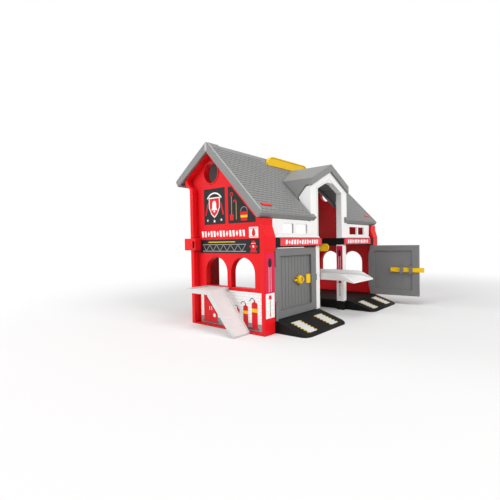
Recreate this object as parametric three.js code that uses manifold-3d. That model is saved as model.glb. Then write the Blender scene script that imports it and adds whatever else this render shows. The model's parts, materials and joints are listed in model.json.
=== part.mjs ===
import * as THREE from 'three';
import Module from 'manifold-3d';
import { mergeVertices } from 'three/addons/utils/BufferGeometryUtils.js';

const wasm = await Module();
wasm.setup();

// Driving dimensions, in millimetres. X runs along the facade, the front is at minus Y, Z is up.

// Clearances
const gapFit = 0.3;
const gapMove = 0.8;

// House shell
const houseLength = 470;
const halfLength = houseLength / 2;
const wallThick = 24;
const wallRecess = 12;
const wallBackY = 203;
const wallFrontY = -6;
const wallBulgeY = -10;
const rimWidth = 9.5;
const frontRim = 7;
const columnWidth = 28;
const columnDepth = 20;
const wallEaveZ = 212;
const bulgeTopZ = 196;
const bulgeFullZ = 180;
const bulgeEndZ = 152;
const corbelZ = 284;

// Levels
const baseTop = 22;
const slabUnder = 158.5;
const slabTop = 177.5;
const sillZ = 81.7;

// Roof
const ridgeY = 142;
const ridgeZ = 370;
const eaveY = -6;
const eaveZ = 222;
const backY = 244;
const backZ = 302;
const roofThick = 6;
const roofHalfLength = 240;
const rakeDepth = 12.7;
const rakeLip = 1.2;
const rakeLipWidth = 6.5;
const fasciaDepth = 12;
const fasciaThick = 4;
const backFasciaDepth = 9;
const backEndLean = 6;

// Round gable window
const roundY = 148;
const roundZ = 313.3;
const roundRadius = 21.4;

// Gable arches
const archHalf = 32.5;
const archBackY = 136.5;
const archFrontY = 60.5;
const archTop = 140.5;
const archRise = 30;

// Back return of each gable wall
const returnWidth = 43;
const returnThick = 9;

// Floor lug and slot at the back of each gable wall
const lugFrontY = 184;
const lugBackY = 220;
const lugProud = 3;
const lugUnder = 154;
const lugTop = 179;
const tongueFrontY = 187.5;
const tongueBackY = 193.5;
const tongueUnder = 159;
const tongueTop = 173;

// Roof pegs on the walls
const fasciaClearY = 7;
const pegInner = 14;
const pegOuter = 41;
const pegY = 11.5;
const pegThick = 4;
const pegBracketDepth = 9;

// Lift bay, shared by base, floor and facade
const bayHalf = 63;
const bayBackY = 104;
const postHalf = 51;
const postOuter = 67;
const postFrontY = -2;
const postTop = 161;
const postNotch = 4.6;
const postBackY = 17;

// Base
const baseFrontY = -8;
const baseBackY = 196;
const apronFrontY = -78;
const apronOuter = 205;
const apronToe = 1.6;
const apronRound = 16;

// Floor and sign strips
const slabFrontY = -5;
const signFrontY = -9;
const signBottom = 161.5;
const signTop = 176.4;
const signOuter = 192;
const signInner = 52;
const signRim = 1.6;
const signRecess = 0.8;

// Facade
const facadeY = 1.5;
const facadeThick = 4;
const facadeFootY = -2.5;
const facadeFootZ = 183;
const facadeTop = 212.8;
const facadeOuter = 203;
const facadeOuterFoot = 200.5;
const windowBottom = 186.5;
const windowTop = 205.5;
const windowInnerA = 91.5;
const windowInnerB = 130.5;
const windowOuterA = 138.5;
const windowOuterB = 172;
const doorShoulder = 287;
const doorApex = 311;
const jambDepth = 14;
const jambThick = 3;
const cheekThick = 3;
const cheekBackY = 33.5;
const cheekBackZ = 267.5;
const cheekTopY = 12;

// Dormer roof
const dormerHalf = 79.5;
const dormerApex = 347.5;
const dormerEave = 306;
const dormerFrontY = -4;
const dormerShell = 6;
const dormerRakeDepth = 16;
const dormerRakeThick = 6;
const facadeDormerHalf = 78;

// Handle
const handleHalf = 79;
const handleBow = 20;
const handleTop = 371.8;
const handleEndWall = 8;
const handleWall = 3;
const handleRoof = 4;
const handleHalfDepth = 21.5;
const handlePanelInset = 2.4;
const handlePanelDepth = 1.2;
const notchHalf = 54;
const notchHalfDepth = 25;

// Gates
const gateInner = 67.8;
const gateOuter = 204.5;
const gateBottom = 23.5;
const gateTop = 157;
const gateThick = 10;
const gateFrontY = -3.5;
const gateFrame = 14.5;
const gateLockFrame = 17.5;
const gateHingeFrame = 17;
const gatePanelFront = 5;
const gatePanelBack = 2;
const grooveCount = 9;
const grooveWidth = 1.2;
const grooveDepth = 0.6;
const pinRadius = 3;
const pinLength = 7;
const pinInset = 3.5;
const pinY = -5;
const openAngle = 96;
const gateNotchWide = 7;
const gateNotchTall = 26;

// Gate latch
const boltZ = 92;
const boltTall = 12;
const boltThick = 3.2;
const boltInner = 141;
const boltReach = 14;
const boltDraw = 9.5;
const boltTravel = 14.8;
const boltPad = 13;
const boltPadProud = 2.4;
const knobRadius = 9.5;
const knobDeep = 9;
const knobSides = 6;
const knobX = 125.5;
const stemRadius = 3;
const pointerLength = 6.5;
const pointerTall = 4;
const ringRadius = 3.4;
const shieldLow = 82;
const shieldHigh = 101;
const shieldInner = 86.5;
const shieldOuter = 101;
const shieldThick = 3;
const keeperWide = 8;

// Lift tray
const trayHalf = 46.8;
const trayTop = 100;
const trayBottom = 85;
const trayFrontY = -57;
const trayBackY = 74;
const trayWall = 3;
const trayFloorZ = 90;
const lipFrontY = -84;
const lipBottom = 80.5;
const lipTop = 83;
const trayEarHalf = 60;
const trayEarDepth = 8;

// Lever on the left post
const leverZ = 156;
const leverRadius = 8.2;
const leverTipY = -25;
const leverPivotY = 8;
const leverThick = 2.6;
const leverRim = 1.8;
const leverRecess = 0.8;
const leverPinRadius = 1.8;
const leverPinLength = 6;

// Balcony and slide
const slideOuter = 41;
const slideInner = 1.5;
const balconyFrontY = 100;
const balconyBackY = 166;
const balconyTop = 80.5;
const balconyThick = 8;
const slideTopZ = 82.5;
const balconyRail = 2.2;
const balconyRailWide = 2.6;
const slideFootY = 31;
const slideThick = 5;
const slideRail = 5;
const slideRailWide = 3;
const slideToe = 2.5;
const treadCount = 9;
const treadTall = 0.8;
const treadDeep = 1.6;

// Derived slopes
const pitch = (ridgeZ - eaveZ) / (ridgeY - eaveY);
const backPitch = (ridgeZ - backZ) / (backY - ridgeY);
const cosBack = 1 / Math.hypot(1, backPitch);
const slopeLen = Math.hypot(ridgeZ - eaveZ, ridgeY - eaveY);
const cosPitch = (ridgeY - eaveY) / slopeLen;
const sinPitch = (ridgeZ - eaveZ) / slopeLen;
const frontTopZ = (y) => ridgeZ - (ridgeY - y) * pitch;
const backTopZ = (y) => ridgeZ - (y - ridgeY) * backPitch;
const dropOf = (depth) => depth / cosPitch;
const backDropOf = (depth) => depth / cosBack;
const backUnderZ = (y) => {
  const high = ridgeZ - dropOf(roofThick);
  const low = backZ - backDropOf(roofThick);
  return high + (low - high) * (y - ridgeY) / (backY - ridgeY);
};
const dormerPitch = (dormerApex - dormerEave) / dormerHalf;

// Shape helpers
function solidFrom(geometry) {
  const g = geometry.clone();
  g.deleteAttribute('normal');
  g.deleteAttribute('uv');
  const m = mergeVertices(g, 1e-5);
  const mesh = new wasm.Mesh({
    numProp: 3,
    vertProperties: new Float32Array(m.attributes.position.array),
    triVerts: new Uint32Array(m.index.array),
  });
  mesh.merge();
  return new wasm.Manifold(mesh);
}

function geometryFrom(solid) {
  const mesh = solid.getMesh();
  const g = new THREE.BufferGeometry();
  g.setAttribute('position', new THREE.BufferAttribute(new Float32Array(mesh.vertProperties), 3));
  g.setIndex(new THREE.BufferAttribute(new Uint32Array(mesh.triVerts), 1));
  const flat = g.toNonIndexed();
  flat.computeVertexNormals();
  return flat;
}

function asShape(outline) {
  if (!Array.isArray(outline)) {
    return outline;
  }
  return new THREE.Shape(outline.map(([a, b]) => new THREE.Vector2(a, b)));
}

function extrude(outline, depth, matrix, segments) {
  const g = new THREE.ExtrudeGeometry(asShape(outline), {
    depth, bevelEnabled: false, curveSegments: segments || 10, steps: 1,
  });
  g.applyMatrix4(matrix);
  return solidFrom(g);
}

// Outline given as (Y, Z), extruded from xA to xB
function alongX(outline, xA, xB, segments) {
  const m = new THREE.Matrix4().set(0, 0, 1, xA, 1, 0, 0, 0, 0, 1, 0, 0, 0, 0, 0, 1);
  return extrude(outline, xB - xA, m, segments);
}

// Outline given as (X, Z), extruded from yA to yB
function alongY(outline, yA, yB, segments) {
  const m = new THREE.Matrix4().set(1, 0, 0, 0, 0, 0, -1, yB, 0, 1, 0, 0, 0, 0, 0, 1);
  return extrude(outline, yB - yA, m, segments);
}

// Outline given as (X, Y), extruded from zA to zB
function alongZ(outline, zA, zB, segments) {
  const m = new THREE.Matrix4().makeTranslation(0, 0, zA);
  return extrude(outline, zB - zA, m, segments);
}

function box(x0, x1, y0, y1, z0, z1) {
  const g = new THREE.BoxGeometry(x1 - x0, y1 - y0, z1 - z0);
  g.translate((x0 + x1) / 2, (y0 + y1) / 2, (z0 + z1) / 2);
  return solidFrom(g);
}

function circle(a, b, radius) {
  const s = new THREE.Shape();
  s.absarc(a, b, radius, 0, Math.PI * 2, false);
  return s;
}

function roundRect(a0, a1, b0, b1, r) {
  const s = new THREE.Shape();
  s.moveTo(a0 + r, b0);
  s.lineTo(a1 - r, b0);
  s.absarc(a1 - r, b0 + r, r, -Math.PI / 2, 0, false);
  s.lineTo(a1, b1 - r);
  s.absarc(a1 - r, b1 - r, r, 0, Math.PI / 2, false);
  s.lineTo(a0 + r, b1);
  s.absarc(a0 + r, b1 - r, r, Math.PI / 2, Math.PI, false);
  s.lineTo(a0, b0 + r);
  s.absarc(a0 + r, b0 + r, r, Math.PI, Math.PI * 1.5, false);
  return s;
}

function archShape(centre, half, bottom, top, rise) {
  const s = new THREE.Shape();
  s.moveTo(centre - half, bottom);
  s.lineTo(centre + half, bottom);
  s.lineTo(centre + half, top - rise);
  s.absellipse(centre, top - rise, half, rise, 0, Math.PI, false);
  s.lineTo(centre - half, bottom);
  return s;
}

function cylinderZ(x, y, radius, z0, z1, sides) {
  const g = new THREE.CylinderGeometry(radius, radius, z1 - z0, sides || 24);
  g.rotateX(Math.PI / 2);
  g.translate(x, y, (z0 + z1) / 2);
  return solidFrom(g);
}

function cylinderY(x, z, radius, y0, y1, sides, radiusFront) {
  const front = radiusFront === undefined ? radius : radiusFront;
  const g = new THREE.CylinderGeometry(radius, front, y1 - y0, sides || 24);
  g.translate(0, (y0 + y1) / 2, 0);
  g.translate(x, 0, z);
  return solidFrom(g);
}

function cylinderX(y, z, radius, x0, x1, sides) {
  const g = new THREE.CylinderGeometry(radius, radius, x1 - x0, sides || 24);
  g.rotateZ(Math.PI / 2);
  g.translate((x0 + x1) / 2, y, z);
  return solidFrom(g);
}

function joined(...parts) {
  return parts.reduce((a, b) => a.add(b));
}

function mirrored(solid) {
  const g = geometryFrom(solid);
  g.scale(-1, 1, 1);
  const p = g.attributes.position.array;
  for (let i = 0; i < p.length; i += 9) {
    for (let k = 0; k < 3; k += 1) {
      const t = p[i + 3 + k];
      p[i + 3 + k] = p[i + 6 + k];
      p[i + 6 + k] = t;
    }
  }
  return solidFrom(g);
}

// Materials
const paint = {
  red: { color: 0xd8121f, roughness: 0.42, metalness: 0 },
  black: { color: 0x141414, roughness: 0.5, metalness: 0 },
  white: { color: 0xf4f4f2, roughness: 0.4, metalness: 0 },
  grey: { color: 0x858585, roughness: 0.55, metalness: 0 },
  gateGrey: { color: 0x7c7c7c, roughness: 0.5, metalness: 0 },
  yellow: { color: 0xf2bd10, roughness: 0.38, metalness: 0 },
  coral: { color: 0xe5444b, roughness: 0.45, metalness: 0 },
};

const group = new THREE.Group();
const pieces = [];
function place(name, solid, finish) {
  pieces.push([name, solid, finish]);
}

// Gable wall, built for the left side
function wallOutline(inset, footZ) {
  const frontInset = inset === 0 ? 0 : frontRim;
  const under = (y) => (y < ridgeY
    ? frontTopZ(y) - dropOf(roofThick + inset)
    : backUnderZ(y) - backDropOf(inset)) - gapFit * 1.5;
  const front = wallFrontY + frontInset;
  const back = wallBackY - inset;
  const frontHighY = -3 + frontInset;
  const headZ = wallEaveZ + 0.6;
  const pts = [];
  pts.push([front, footZ]);
  pts.push([back, footZ]);
  pts.push([back, corbelZ - 4]);
  pts.push([back + 2, corbelZ]);
  pts.push([back + 9, corbelZ + 4]);
  pts.push([back + 15, corbelZ + 10]);
  pts.push([back + 18, Math.min(corbelZ + 20, under(back + 18) - 1)]);
  pts.push([back + 17, under(back + 17)]);
  pts.push([ridgeY, under(ridgeY)]);
  if (inset === 0) {
    pts.push([fasciaClearY, under(fasciaClearY)]);
    pts.push([fasciaClearY, headZ]);
    pts.push([frontHighY, headZ]);
    pts.push([frontHighY, bulgeTopZ + 4]);
    pts.push([-7, (bulgeTopZ + bulgeFullZ) / 2]);
    pts.push([wallBulgeY, bulgeFullZ]);
    pts.push([wallBulgeY, bulgeEndZ + 6]);
    pts.push([wallFrontY - 1, bulgeEndZ]);
  } else {
    pts.push([front + 3, under(front + 3)]);
    pts.push([front, under(front + 3) - 3]);
  }
  return pts;
}

function gableWall() {
  const inner = -halfLength + wallThick;
  let wall = alongX(wallOutline(0, 0), -halfLength, inner);
  const recess = alongX(wallOutline(rimWidth, 2), -halfLength - 1, -halfLength + wallRecess);
  wall = wall.subtract(recess);
  const through = [-halfLength - 1, inner + 1];
  const arches = [archBackY, archFrontY];
  for (const c of arches) {
    wall = wall.subtract(alongX(archShape(c, archHalf, sillZ, archTop, archRise), ...through, 8));
  }
  wall = wall.subtract(alongX(circle(roundY, roundZ, roundRadius), ...through, 28));

  // Front column, wider than the wall, with two shallow collars
  const columnProfile = [
    [wallFrontY, 0], [wallFrontY + columnDepth, 0],
    [wallFrontY + columnDepth, wallEaveZ - 1], [-3, wallEaveZ - 1],
    [-3, bulgeTopZ + 4], [-7, (bulgeTopZ + bulgeFullZ) / 2], [wallBulgeY, bulgeFullZ],
    [wallBulgeY, bulgeEndZ + 6], [wallFrontY - 1, bulgeEndZ],
  ];
  const corner = -halfLength + columnWidth;
  const columnHead = alongX(columnProfile, inner - 1, corner);
  const lower = box(inner - 2, corner + 1, wallFrontY + 4, wallFrontY + columnDepth + 1,
    -1, slabTop + gapFit);
  wall = wall.add(columnHead.subtract(lower));

  // Rounded outer corner of the column below the floor
  const cut = alongZ([
    [-halfLength - 1, wallBulgeY - 1], [-halfLength + 2.2, wallBulgeY - 1],
    [-halfLength - 1, wallFrontY + 1.6],
  ], -1, wallEaveZ + 1);
  wall = wall.subtract(cut);

  // Peg that comes up through the roof slot, on a bracket behind the facade
  const bracketTop = frontTopZ(pegY - pegBracketDepth / 2) - dropOf(roofThick) - gapFit;
  const bracket = box(-halfLength + pegInner, -halfLength + pegOuter,
    pegY - pegBracketDepth / 2, pegY + pegBracketDepth / 2, slabTop + 6, bracketTop - 0.5);
  const pegTop = frontTopZ(pegY - pegThick / 2) + 0.4;
  const peg = box(-halfLength + pegInner, -halfLength + pegOuter,
    pegY - pegThick / 2, pegY + pegThick / 2, bracketTop - 8, pegTop);
  wall = wall.add(bracket).add(peg);

  // Back return that stiffens the open side
  const back = box(inner - 1, inner + returnWidth, wallBackY - returnThick, wallBackY,
    0, slabUnder - gapFit);
  const upper = box(inner - 1, inner + returnWidth * 0.5, wallBackY - returnThick, wallBackY,
    slabTop + gapFit, 282);
  wall = wall.add(back).add(upper);

  // Floor lug with its slot
  const lug = alongX(roundRect(lugFrontY, lugBackY, lugUnder, lugTop, 1.5),
    -halfLength - lugProud, inner, 3);
  wall = wall.add(lug);
  wall = wall.subtract(box(-halfLength - lugProud - 1, inner + returnWidth + 1,
    tongueFrontY - gapFit, tongueBackY + gapFit, tongueUnder - gapFit, tongueTop + gapFit));
  return wall;
}
const leftWall = gableWall();
place('gable_wall_left', leftWall, 'red');
place('gable_wall_right', mirrored(leftWall), 'red');

// Base with one apron before each gate and a cut for the lift
const floorHalf = halfLength - wallThick - gapFit;
function basePlate() {
  const columnClear = halfLength - columnWidth - gapFit;
  const backClear = baseBackY - returnThick - 2;
  const outline = [
    [-columnClear, baseFrontY], [-bayHalf, baseFrontY], [-bayHalf, bayBackY],
    [bayHalf, bayBackY], [bayHalf, baseFrontY], [columnClear, baseFrontY],
    [columnClear, wallFrontY + 4], [floorHalf, wallFrontY + 4], [floorHalf, backClear],
    [-floorHalf, backClear], [-floorHalf, wallFrontY + 4], [-columnClear, wallFrontY + 4],
  ];
  let base = alongZ(outline, 0, baseTop);
  for (const side of [-1, 1]) {
    const a = Math.min(side * bayHalf, side * apronOuter);
    const b = Math.max(side * bayHalf, side * apronOuter);
    let wedge = alongX([
      [baseFrontY + 1, 0], [baseFrontY + 1, baseTop], [baseFrontY - 3, baseTop],
      [apronFrontY, apronToe], [apronFrontY, 0],
    ], a, b);
    const plan = new THREE.Shape();
    plan.moveTo(a, baseFrontY + 2);
    plan.lineTo(a, apronFrontY + apronRound);
    plan.absarc(a + apronRound, apronFrontY + apronRound, apronRound, Math.PI, Math.PI * 1.5, false);
    plan.lineTo(b - apronRound, apronFrontY);
    plan.absarc(b - apronRound, apronFrontY + apronRound, apronRound, -Math.PI / 2, 0, false);
    plan.lineTo(b, baseFrontY + 2);
    wedge = wedge.intersect(alongZ(plan, -1, baseTop + 1, 6));
    base = base.add(wedge);
    // Shoe under the post
    const shoeA = Math.min(side * postHalf, side * (bayHalf + 1));
    const shoeB = Math.max(side * postHalf, side * (bayHalf + 1));
    base = base.add(box(shoeA, shoeB, postFrontY, postBackY, 0, baseTop));
    // Bore for the gate pin
    const hx = side * (gateOuter - pinInset);
    base = base.subtract(cylinderZ(hx, pinY, pinRadius + gapFit,
      baseTop - pinLength - 1, baseTop + 1));
  }
  return base;
}
place('base_plate', basePlate(), 'black');

// First floor with the lift cut, tongues through the wall lugs and bores for the gate pins
function floorSlab() {
  const columnClear = halfLength - columnWidth - gapFit;
  const outline = [
    [-columnClear, slabFrontY], [-bayHalf, slabFrontY], [-bayHalf, bayBackY],
    [bayHalf, bayBackY], [bayHalf, slabFrontY], [columnClear, slabFrontY],
    [columnClear, wallFrontY + columnDepth], [floorHalf, wallFrontY + columnDepth],
    [floorHalf, wallBackY], [-floorHalf, wallBackY],
    [-floorHalf, wallFrontY + columnDepth], [-columnClear, wallFrontY + columnDepth],
  ];
  let slab = alongZ(outline, slabUnder, slabTop);
  for (const side of [-1, 1]) {
    const a = Math.min(side * (signOuter + gapFit), side * columnClear);
    const b = Math.max(side * (signOuter + gapFit), side * columnClear);
    slab = slab.add(box(a, b, signFrontY, slabFrontY + 1, slabUnder, slabTop));
  }
  slab = slab.subtract(box(-floorHalf - 1, floorHalf + 1, lugFrontY - gapFit, wallBackY + 1,
    slabUnder - 1, slabTop + 1).subtract(
    box(-floorHalf + gapFit, floorHalf - gapFit, lugFrontY - 2, wallBackY + 2,
      slabUnder - 2, slabTop + 2)));
  for (const side of [-1, 1]) {
    const a = Math.min(side * (floorHalf - 2), side * (halfLength - 1));
    const b = Math.max(side * (floorHalf - 2), side * (halfLength - 1));
    slab = slab.add(box(a, b, tongueFrontY, tongueBackY, tongueUnder, tongueTop));
    const hx = side * (gateOuter - pinInset);
    slab = slab.subtract(cylinderZ(hx, pinY, pinRadius + gapFit,
      slabUnder - 1, slabUnder + pinLength + 1));
    const shoeA = Math.min(side * postHalf, side * (bayHalf + 1));
    const shoeB = Math.max(side * postHalf, side * (bayHalf + 1));
    slab = slab.add(box(shoeA, shoeB, postFrontY, postBackY, postTop, slabTop));
    const socketA = Math.min(side * (bayHalf - 1), side * (postOuter + gapFit));
    const socketB = Math.max(side * (bayHalf - 1), side * (postOuter + gapFit));
    slab = slab.subtract(box(socketA, socketB, slabFrontY - 1, postBackY + gapFit, slabUnder - 1, postTop));
  }
  return slab;
}
place('floor_slab', floorSlab(), 'black');

// Posts beside the lift, each with a slot for the gate bolt
function post() {
  let p = alongZ(roundRect(postHalf, postOuter, postFrontY, postBackY, 1.2), baseTop, postTop, 3);
  p = p.subtract(box(postHalf + 1.5, postOuter + 1,
    gateBoltBack() - gapMove, gateBoltBack() + boltThick + gapMove,
    boltZ - boltTall / 2 - gapMove, boltZ + boltTall / 2 + gapMove));
  // Open notch at the outer front edge, where the half drawn bolt swings past
  p = p.subtract(box(postOuter - postNotch, postOuter + 1,
    postFrontY - 1, gateBoltBack() + boltThick + gapMove,
    boltZ - boltTall / 2 - gapMove, boltZ + boltTall / 2 + gapMove));
  return p;
}
function gateBoltBack() {
  return gateFrontY + gateThick - gatePanelBack + gapFit;
}
const rightPost = post();
place('post_right', rightPost, 'white');
place('post_left', mirrored(rightPost).subtract(cylinderX(leverPivotY, leverZ, leverPinRadius + gapFit,
  -postHalf - leverPinLength - 1, -postHalf + 1, 20)), 'white');

// White facade: two leaning window strips joined by the tall dormer front
function facadePanel() {
  const strip = [
    [facadeFootY, slabTop], [facadeFootY + facadeThick, slabTop],
    [facadeY + facadeThick, facadeFootZ], [facadeY + facadeThick, facadeTop],
    [facadeY, facadeTop], [facadeY, facadeFootZ], [facadeFootY, slabTop + 1.5],
  ];
  let panel = alongX(strip, -facadeOuter, facadeOuter);
  for (const side of [-1, 1]) {
    const cutEnd = alongY([
      [side * facadeOuterFoot, slabTop - 1], [side * (facadeOuter + 1), facadeTop + 1],
      [side * (facadeOuter + 20), facadeTop + 1], [side * (facadeOuter + 20), slabTop - 1],
    ], facadeFootY - 2, facadeY + facadeThick + 2);
    panel = panel.subtract(cutEnd);
    for (const [a, b] of [[windowInnerA, windowInnerB], [windowOuterA, windowOuterB]]) {
      const x0 = Math.min(side * a, side * b);
      const x1 = Math.max(side * a, side * b);
      panel = panel.subtract(alongY(roundRect(x0, x1, windowBottom, windowTop, 1.4),
        facadeFootY - 2, facadeY + facadeThick + 2, 3));
    }
  }
  const eaveUnder = dormerEave - dormerRakeDepth - gapFit;
  const apexUnder = dormerApex - dormerRakeDepth - gapFit;
  const edgeUnder = eaveUnder + (dormerHalf - facadeDormerHalf) * dormerPitch;
  const front = alongY([
    [-facadeDormerHalf, facadeTop - 15], [facadeDormerHalf, facadeTop - 15],
    [facadeDormerHalf, edgeUnder], [0, apexUnder], [-facadeDormerHalf, edgeUnder],
  ], facadeY, facadeY + facadeThick);
  panel = panel.add(front);
  // Jamb round the opening
  const outer = postHalf + jambThick;
  const jamb = alongY([
    [-outer, slabTop], [outer, slabTop], [outer, doorShoulder + 1.6],
    [0, doorApex + jambThick], [-outer, doorShoulder + 1.6],
  ], facadeFootY + facadeThick - 1, facadeY + jambDepth);
  panel = panel.add(jamb);
  // Cheeks at both sides of the dormer
  for (const side of [-1, 1]) {
    const a = Math.min(side * (facadeDormerHalf - cheekThick), side * facadeDormerHalf);
    const b = Math.max(side * (facadeDormerHalf - cheekThick), side * facadeDormerHalf);
    panel = panel.add(alongX([
      [facadeY + 1, facadeTop - 15], [facadeY + 8, facadeTop - 5],
      [facadeY + 8, facadeTop], [cheekBackY, cheekBackZ],
      [cheekTopY, edgeUnder - 1], [facadeY + 1, edgeUnder - 1],
    ], a, b));
  }
  const door = alongY([
    [-postHalf, slabTop - 1], [postHalf, slabTop - 1], [postHalf, doorShoulder],
    [0, doorApex], [-postHalf, doorShoulder],
  ], facadeFootY - 3, facadeY + jambDepth + 2);
  panel = panel.subtract(door);
  return panel;
}
place('facade_panel', facadePanel(), 'white');

// Roof: sloped plates with rake boards, fascia, dormer cut, handle notch and peg slots
function slopeBand(topDrop, underDrop, yA, yB, isBack) {
  const top = isBack ? backTopZ : frontTopZ;
  return [
    [yA, top(yA) - underDrop], [yB, top(yB) - underDrop],
    [yB, top(yB) - topDrop], [yA, top(yA) - topDrop],
  ];
}

function roofFront() {
  const t = dropOf(roofThick);
  let roof = alongX(slopeBand(0, t, eaveY, ridgeY, false), -roofHalfLength, roofHalfLength);
  // Fascia square to the slope, its lower corner leaning in
  const fy = fasciaDepth * sinPitch;
  const fz = fasciaDepth * cosPitch;
  const ty = fasciaThick * cosPitch;
  const tz = fasciaThick * sinPitch;
  const fascia = alongX([
    [eaveY, eaveZ], [eaveY + fy, eaveZ - fz], [eaveY + fy + ty, eaveZ - fz + tz],
    [eaveY + ty + 1, eaveZ + tz + 0.5 * pitch],
  ], -roofHalfLength, roofHalfLength);
  roof = roof.subtract(alongX([
    [eaveY - 1, eaveZ - 1 * pitch], [eaveY, eaveZ], [eaveY + fy, eaveZ - fz],
    [eaveY - 1, eaveZ - fz - 2],
  ], -roofHalfLength - 1, roofHalfLength + 1));
  roof = roof.add(fascia);
  for (const side of [-1, 1]) {
    const skirtIn = halfLength + gapFit;
    const a = Math.min(side * skirtIn, side * roofHalfLength);
    const b = Math.max(side * skirtIn, side * roofHalfLength);
    const skirt = alongX([
      [eaveY, eaveZ], [eaveY + fy, eaveZ - fz],
      [eaveY + fy + 3.5, frontTopZ(eaveY + fy + 3.5) - dropOf(rakeDepth)],
      [ridgeY, ridgeZ - dropOf(rakeDepth)], [ridgeY, ridgeZ],
    ], a, b);
    const lipIn = roofHalfLength - rakeLipWidth;
    const la = Math.min(side * lipIn, side * roofHalfLength);
    const lb = Math.max(side * lipIn, side * roofHalfLength);
    const lip = alongX([
      [eaveY + 3, frontTopZ(eaveY + 3) - 1], [ridgeY, ridgeZ - 1],
      [ridgeY, ridgeZ + rakeLip], [eaveY + 4, frontTopZ(eaveY + 4) + rakeLip],
    ], la, lb);
    roof = roof.add(skirt).add(lip);
    // Slot for the wall peg
    const pa = Math.min(side * (halfLength - pegInner), side * (halfLength - pegOuter));
    const pb = Math.max(side * (halfLength - pegInner), side * (halfLength - pegOuter));
    roof = roof.subtract(box(pa - 0.6, pb + 0.6, pegY - pegThick / 2 - 0.5, pegY + pegThick / 2 + 0.5,
      200, 260));
  }
  // Dormer cut: narrow through the eave, wide behind the facade
  roof = roof.subtract(box(-postOuter + 1, postOuter - 1, eaveY - 2, facadeY + 3, 190, 300));
  roof = roof.subtract(box(-facadeDormerHalf - gapFit, facadeDormerHalf + gapFit,
    facadeY - gapFit, cheekBackY + 3, 200, 330));
  const openHalf = facadeDormerHalf - 6;
  roof = roof.subtract(alongZ([
    [-openHalf, cheekBackY], [openHalf, cheekBackY], [openHalf, cheekBackY + 38],
    [0, cheekBackY + 76], [-openHalf, cheekBackY + 38],
  ], 200, 345));
  roof = roof.subtract(handleNotch());
  return roof;
}

function handleNotch() {
  return alongZ(roundRect(-notchHalf, notchHalf, ridgeY - notchHalfDepth, ridgeY + notchHalfDepth, 8),
    ridgeZ - 80, ridgeZ + 20, 5);
}

function roofBack() {
  const t = backDropOf(roofThick);
  let roof = alongX([
    [ridgeY, ridgeZ - dropOf(roofThick)], [backY, backZ - t], [backY, backZ], [ridgeY, ridgeZ],
  ], -roofHalfLength, roofHalfLength);
  // End face leans in below the top edge, with a fascia behind it
  const fz = backFasciaDepth / cosBack;
  const footY = backY - backEndLean;
  const footZ = backZ - fz;
  roof = roof.subtract(alongX([
    [backY + 1, footZ - 10], [backY + 1, backZ + 2], [backY, backZ],
    [footY, footZ], [footY - 1, footZ - 10],
  ].reverse(), -roofHalfLength - 1, roofHalfLength + 1));
  const fascia = alongX([
    [footY - fasciaThick, footZ + fasciaThick * backPitch], [footY, footZ], [backY, backZ],
    [backY - fasciaThick - 2, backZ + (fasciaThick + 1) * backPitch],
  ], -roofHalfLength, roofHalfLength);
  roof = roof.add(fascia);
  for (const side of [-1, 1]) {
    const skirtIn = halfLength + gapFit;
    const a = Math.min(side * skirtIn, side * roofHalfLength);
    const b = Math.max(side * skirtIn, side * roofHalfLength);
    const skirt = alongX([
      [ridgeY, ridgeZ - dropOf(rakeDepth)], [footY, footZ], [backY, backZ], [ridgeY, ridgeZ],
    ], a, b);
    const lipIn = roofHalfLength - rakeLipWidth;
    const la = Math.min(side * lipIn, side * roofHalfLength);
    const lb = Math.max(side * lipIn, side * roofHalfLength);
    const lip = alongX([
      [ridgeY, ridgeZ - 1], [backY - 3, backTopZ(backY - 3) - 1],
      [backY - 4, backTopZ(backY - 4) + rakeLip], [ridgeY, ridgeZ + rakeLip],
    ], la, lb);
    roof = roof.add(skirt).add(lip);
  }
  roof = roof.subtract(handleNotch());
  return roof;
}
place('roof_front', roofFront(), 'grey');
place('roof_back', roofBack(), 'grey');

// Ridge end caps
function ridgeCap(side) {
  const inner = roofHalfLength - rakeLipWidth - gapFit;
  const length = 25;
  const a = Math.min(side * inner, side * (inner - length));
  const b = Math.max(side * inner, side * (inner - length));
  const reach = 9;
  const lift = 1.8;
  return alongX([
    [ridgeY - reach, frontTopZ(ridgeY - reach)], [ridgeY, ridgeZ],
    [ridgeY + reach, backTopZ(ridgeY + reach)],
    [ridgeY + reach - 1, backTopZ(ridgeY + reach) + lift], [ridgeY, ridgeZ + lift],
    [ridgeY - reach + 1, frontTopZ(ridgeY - reach) + lift],
  ], a, b);
}
place('ridge_cap_left', ridgeCap(-1), 'grey');
place('ridge_cap_right', ridgeCap(1), 'grey');

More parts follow.
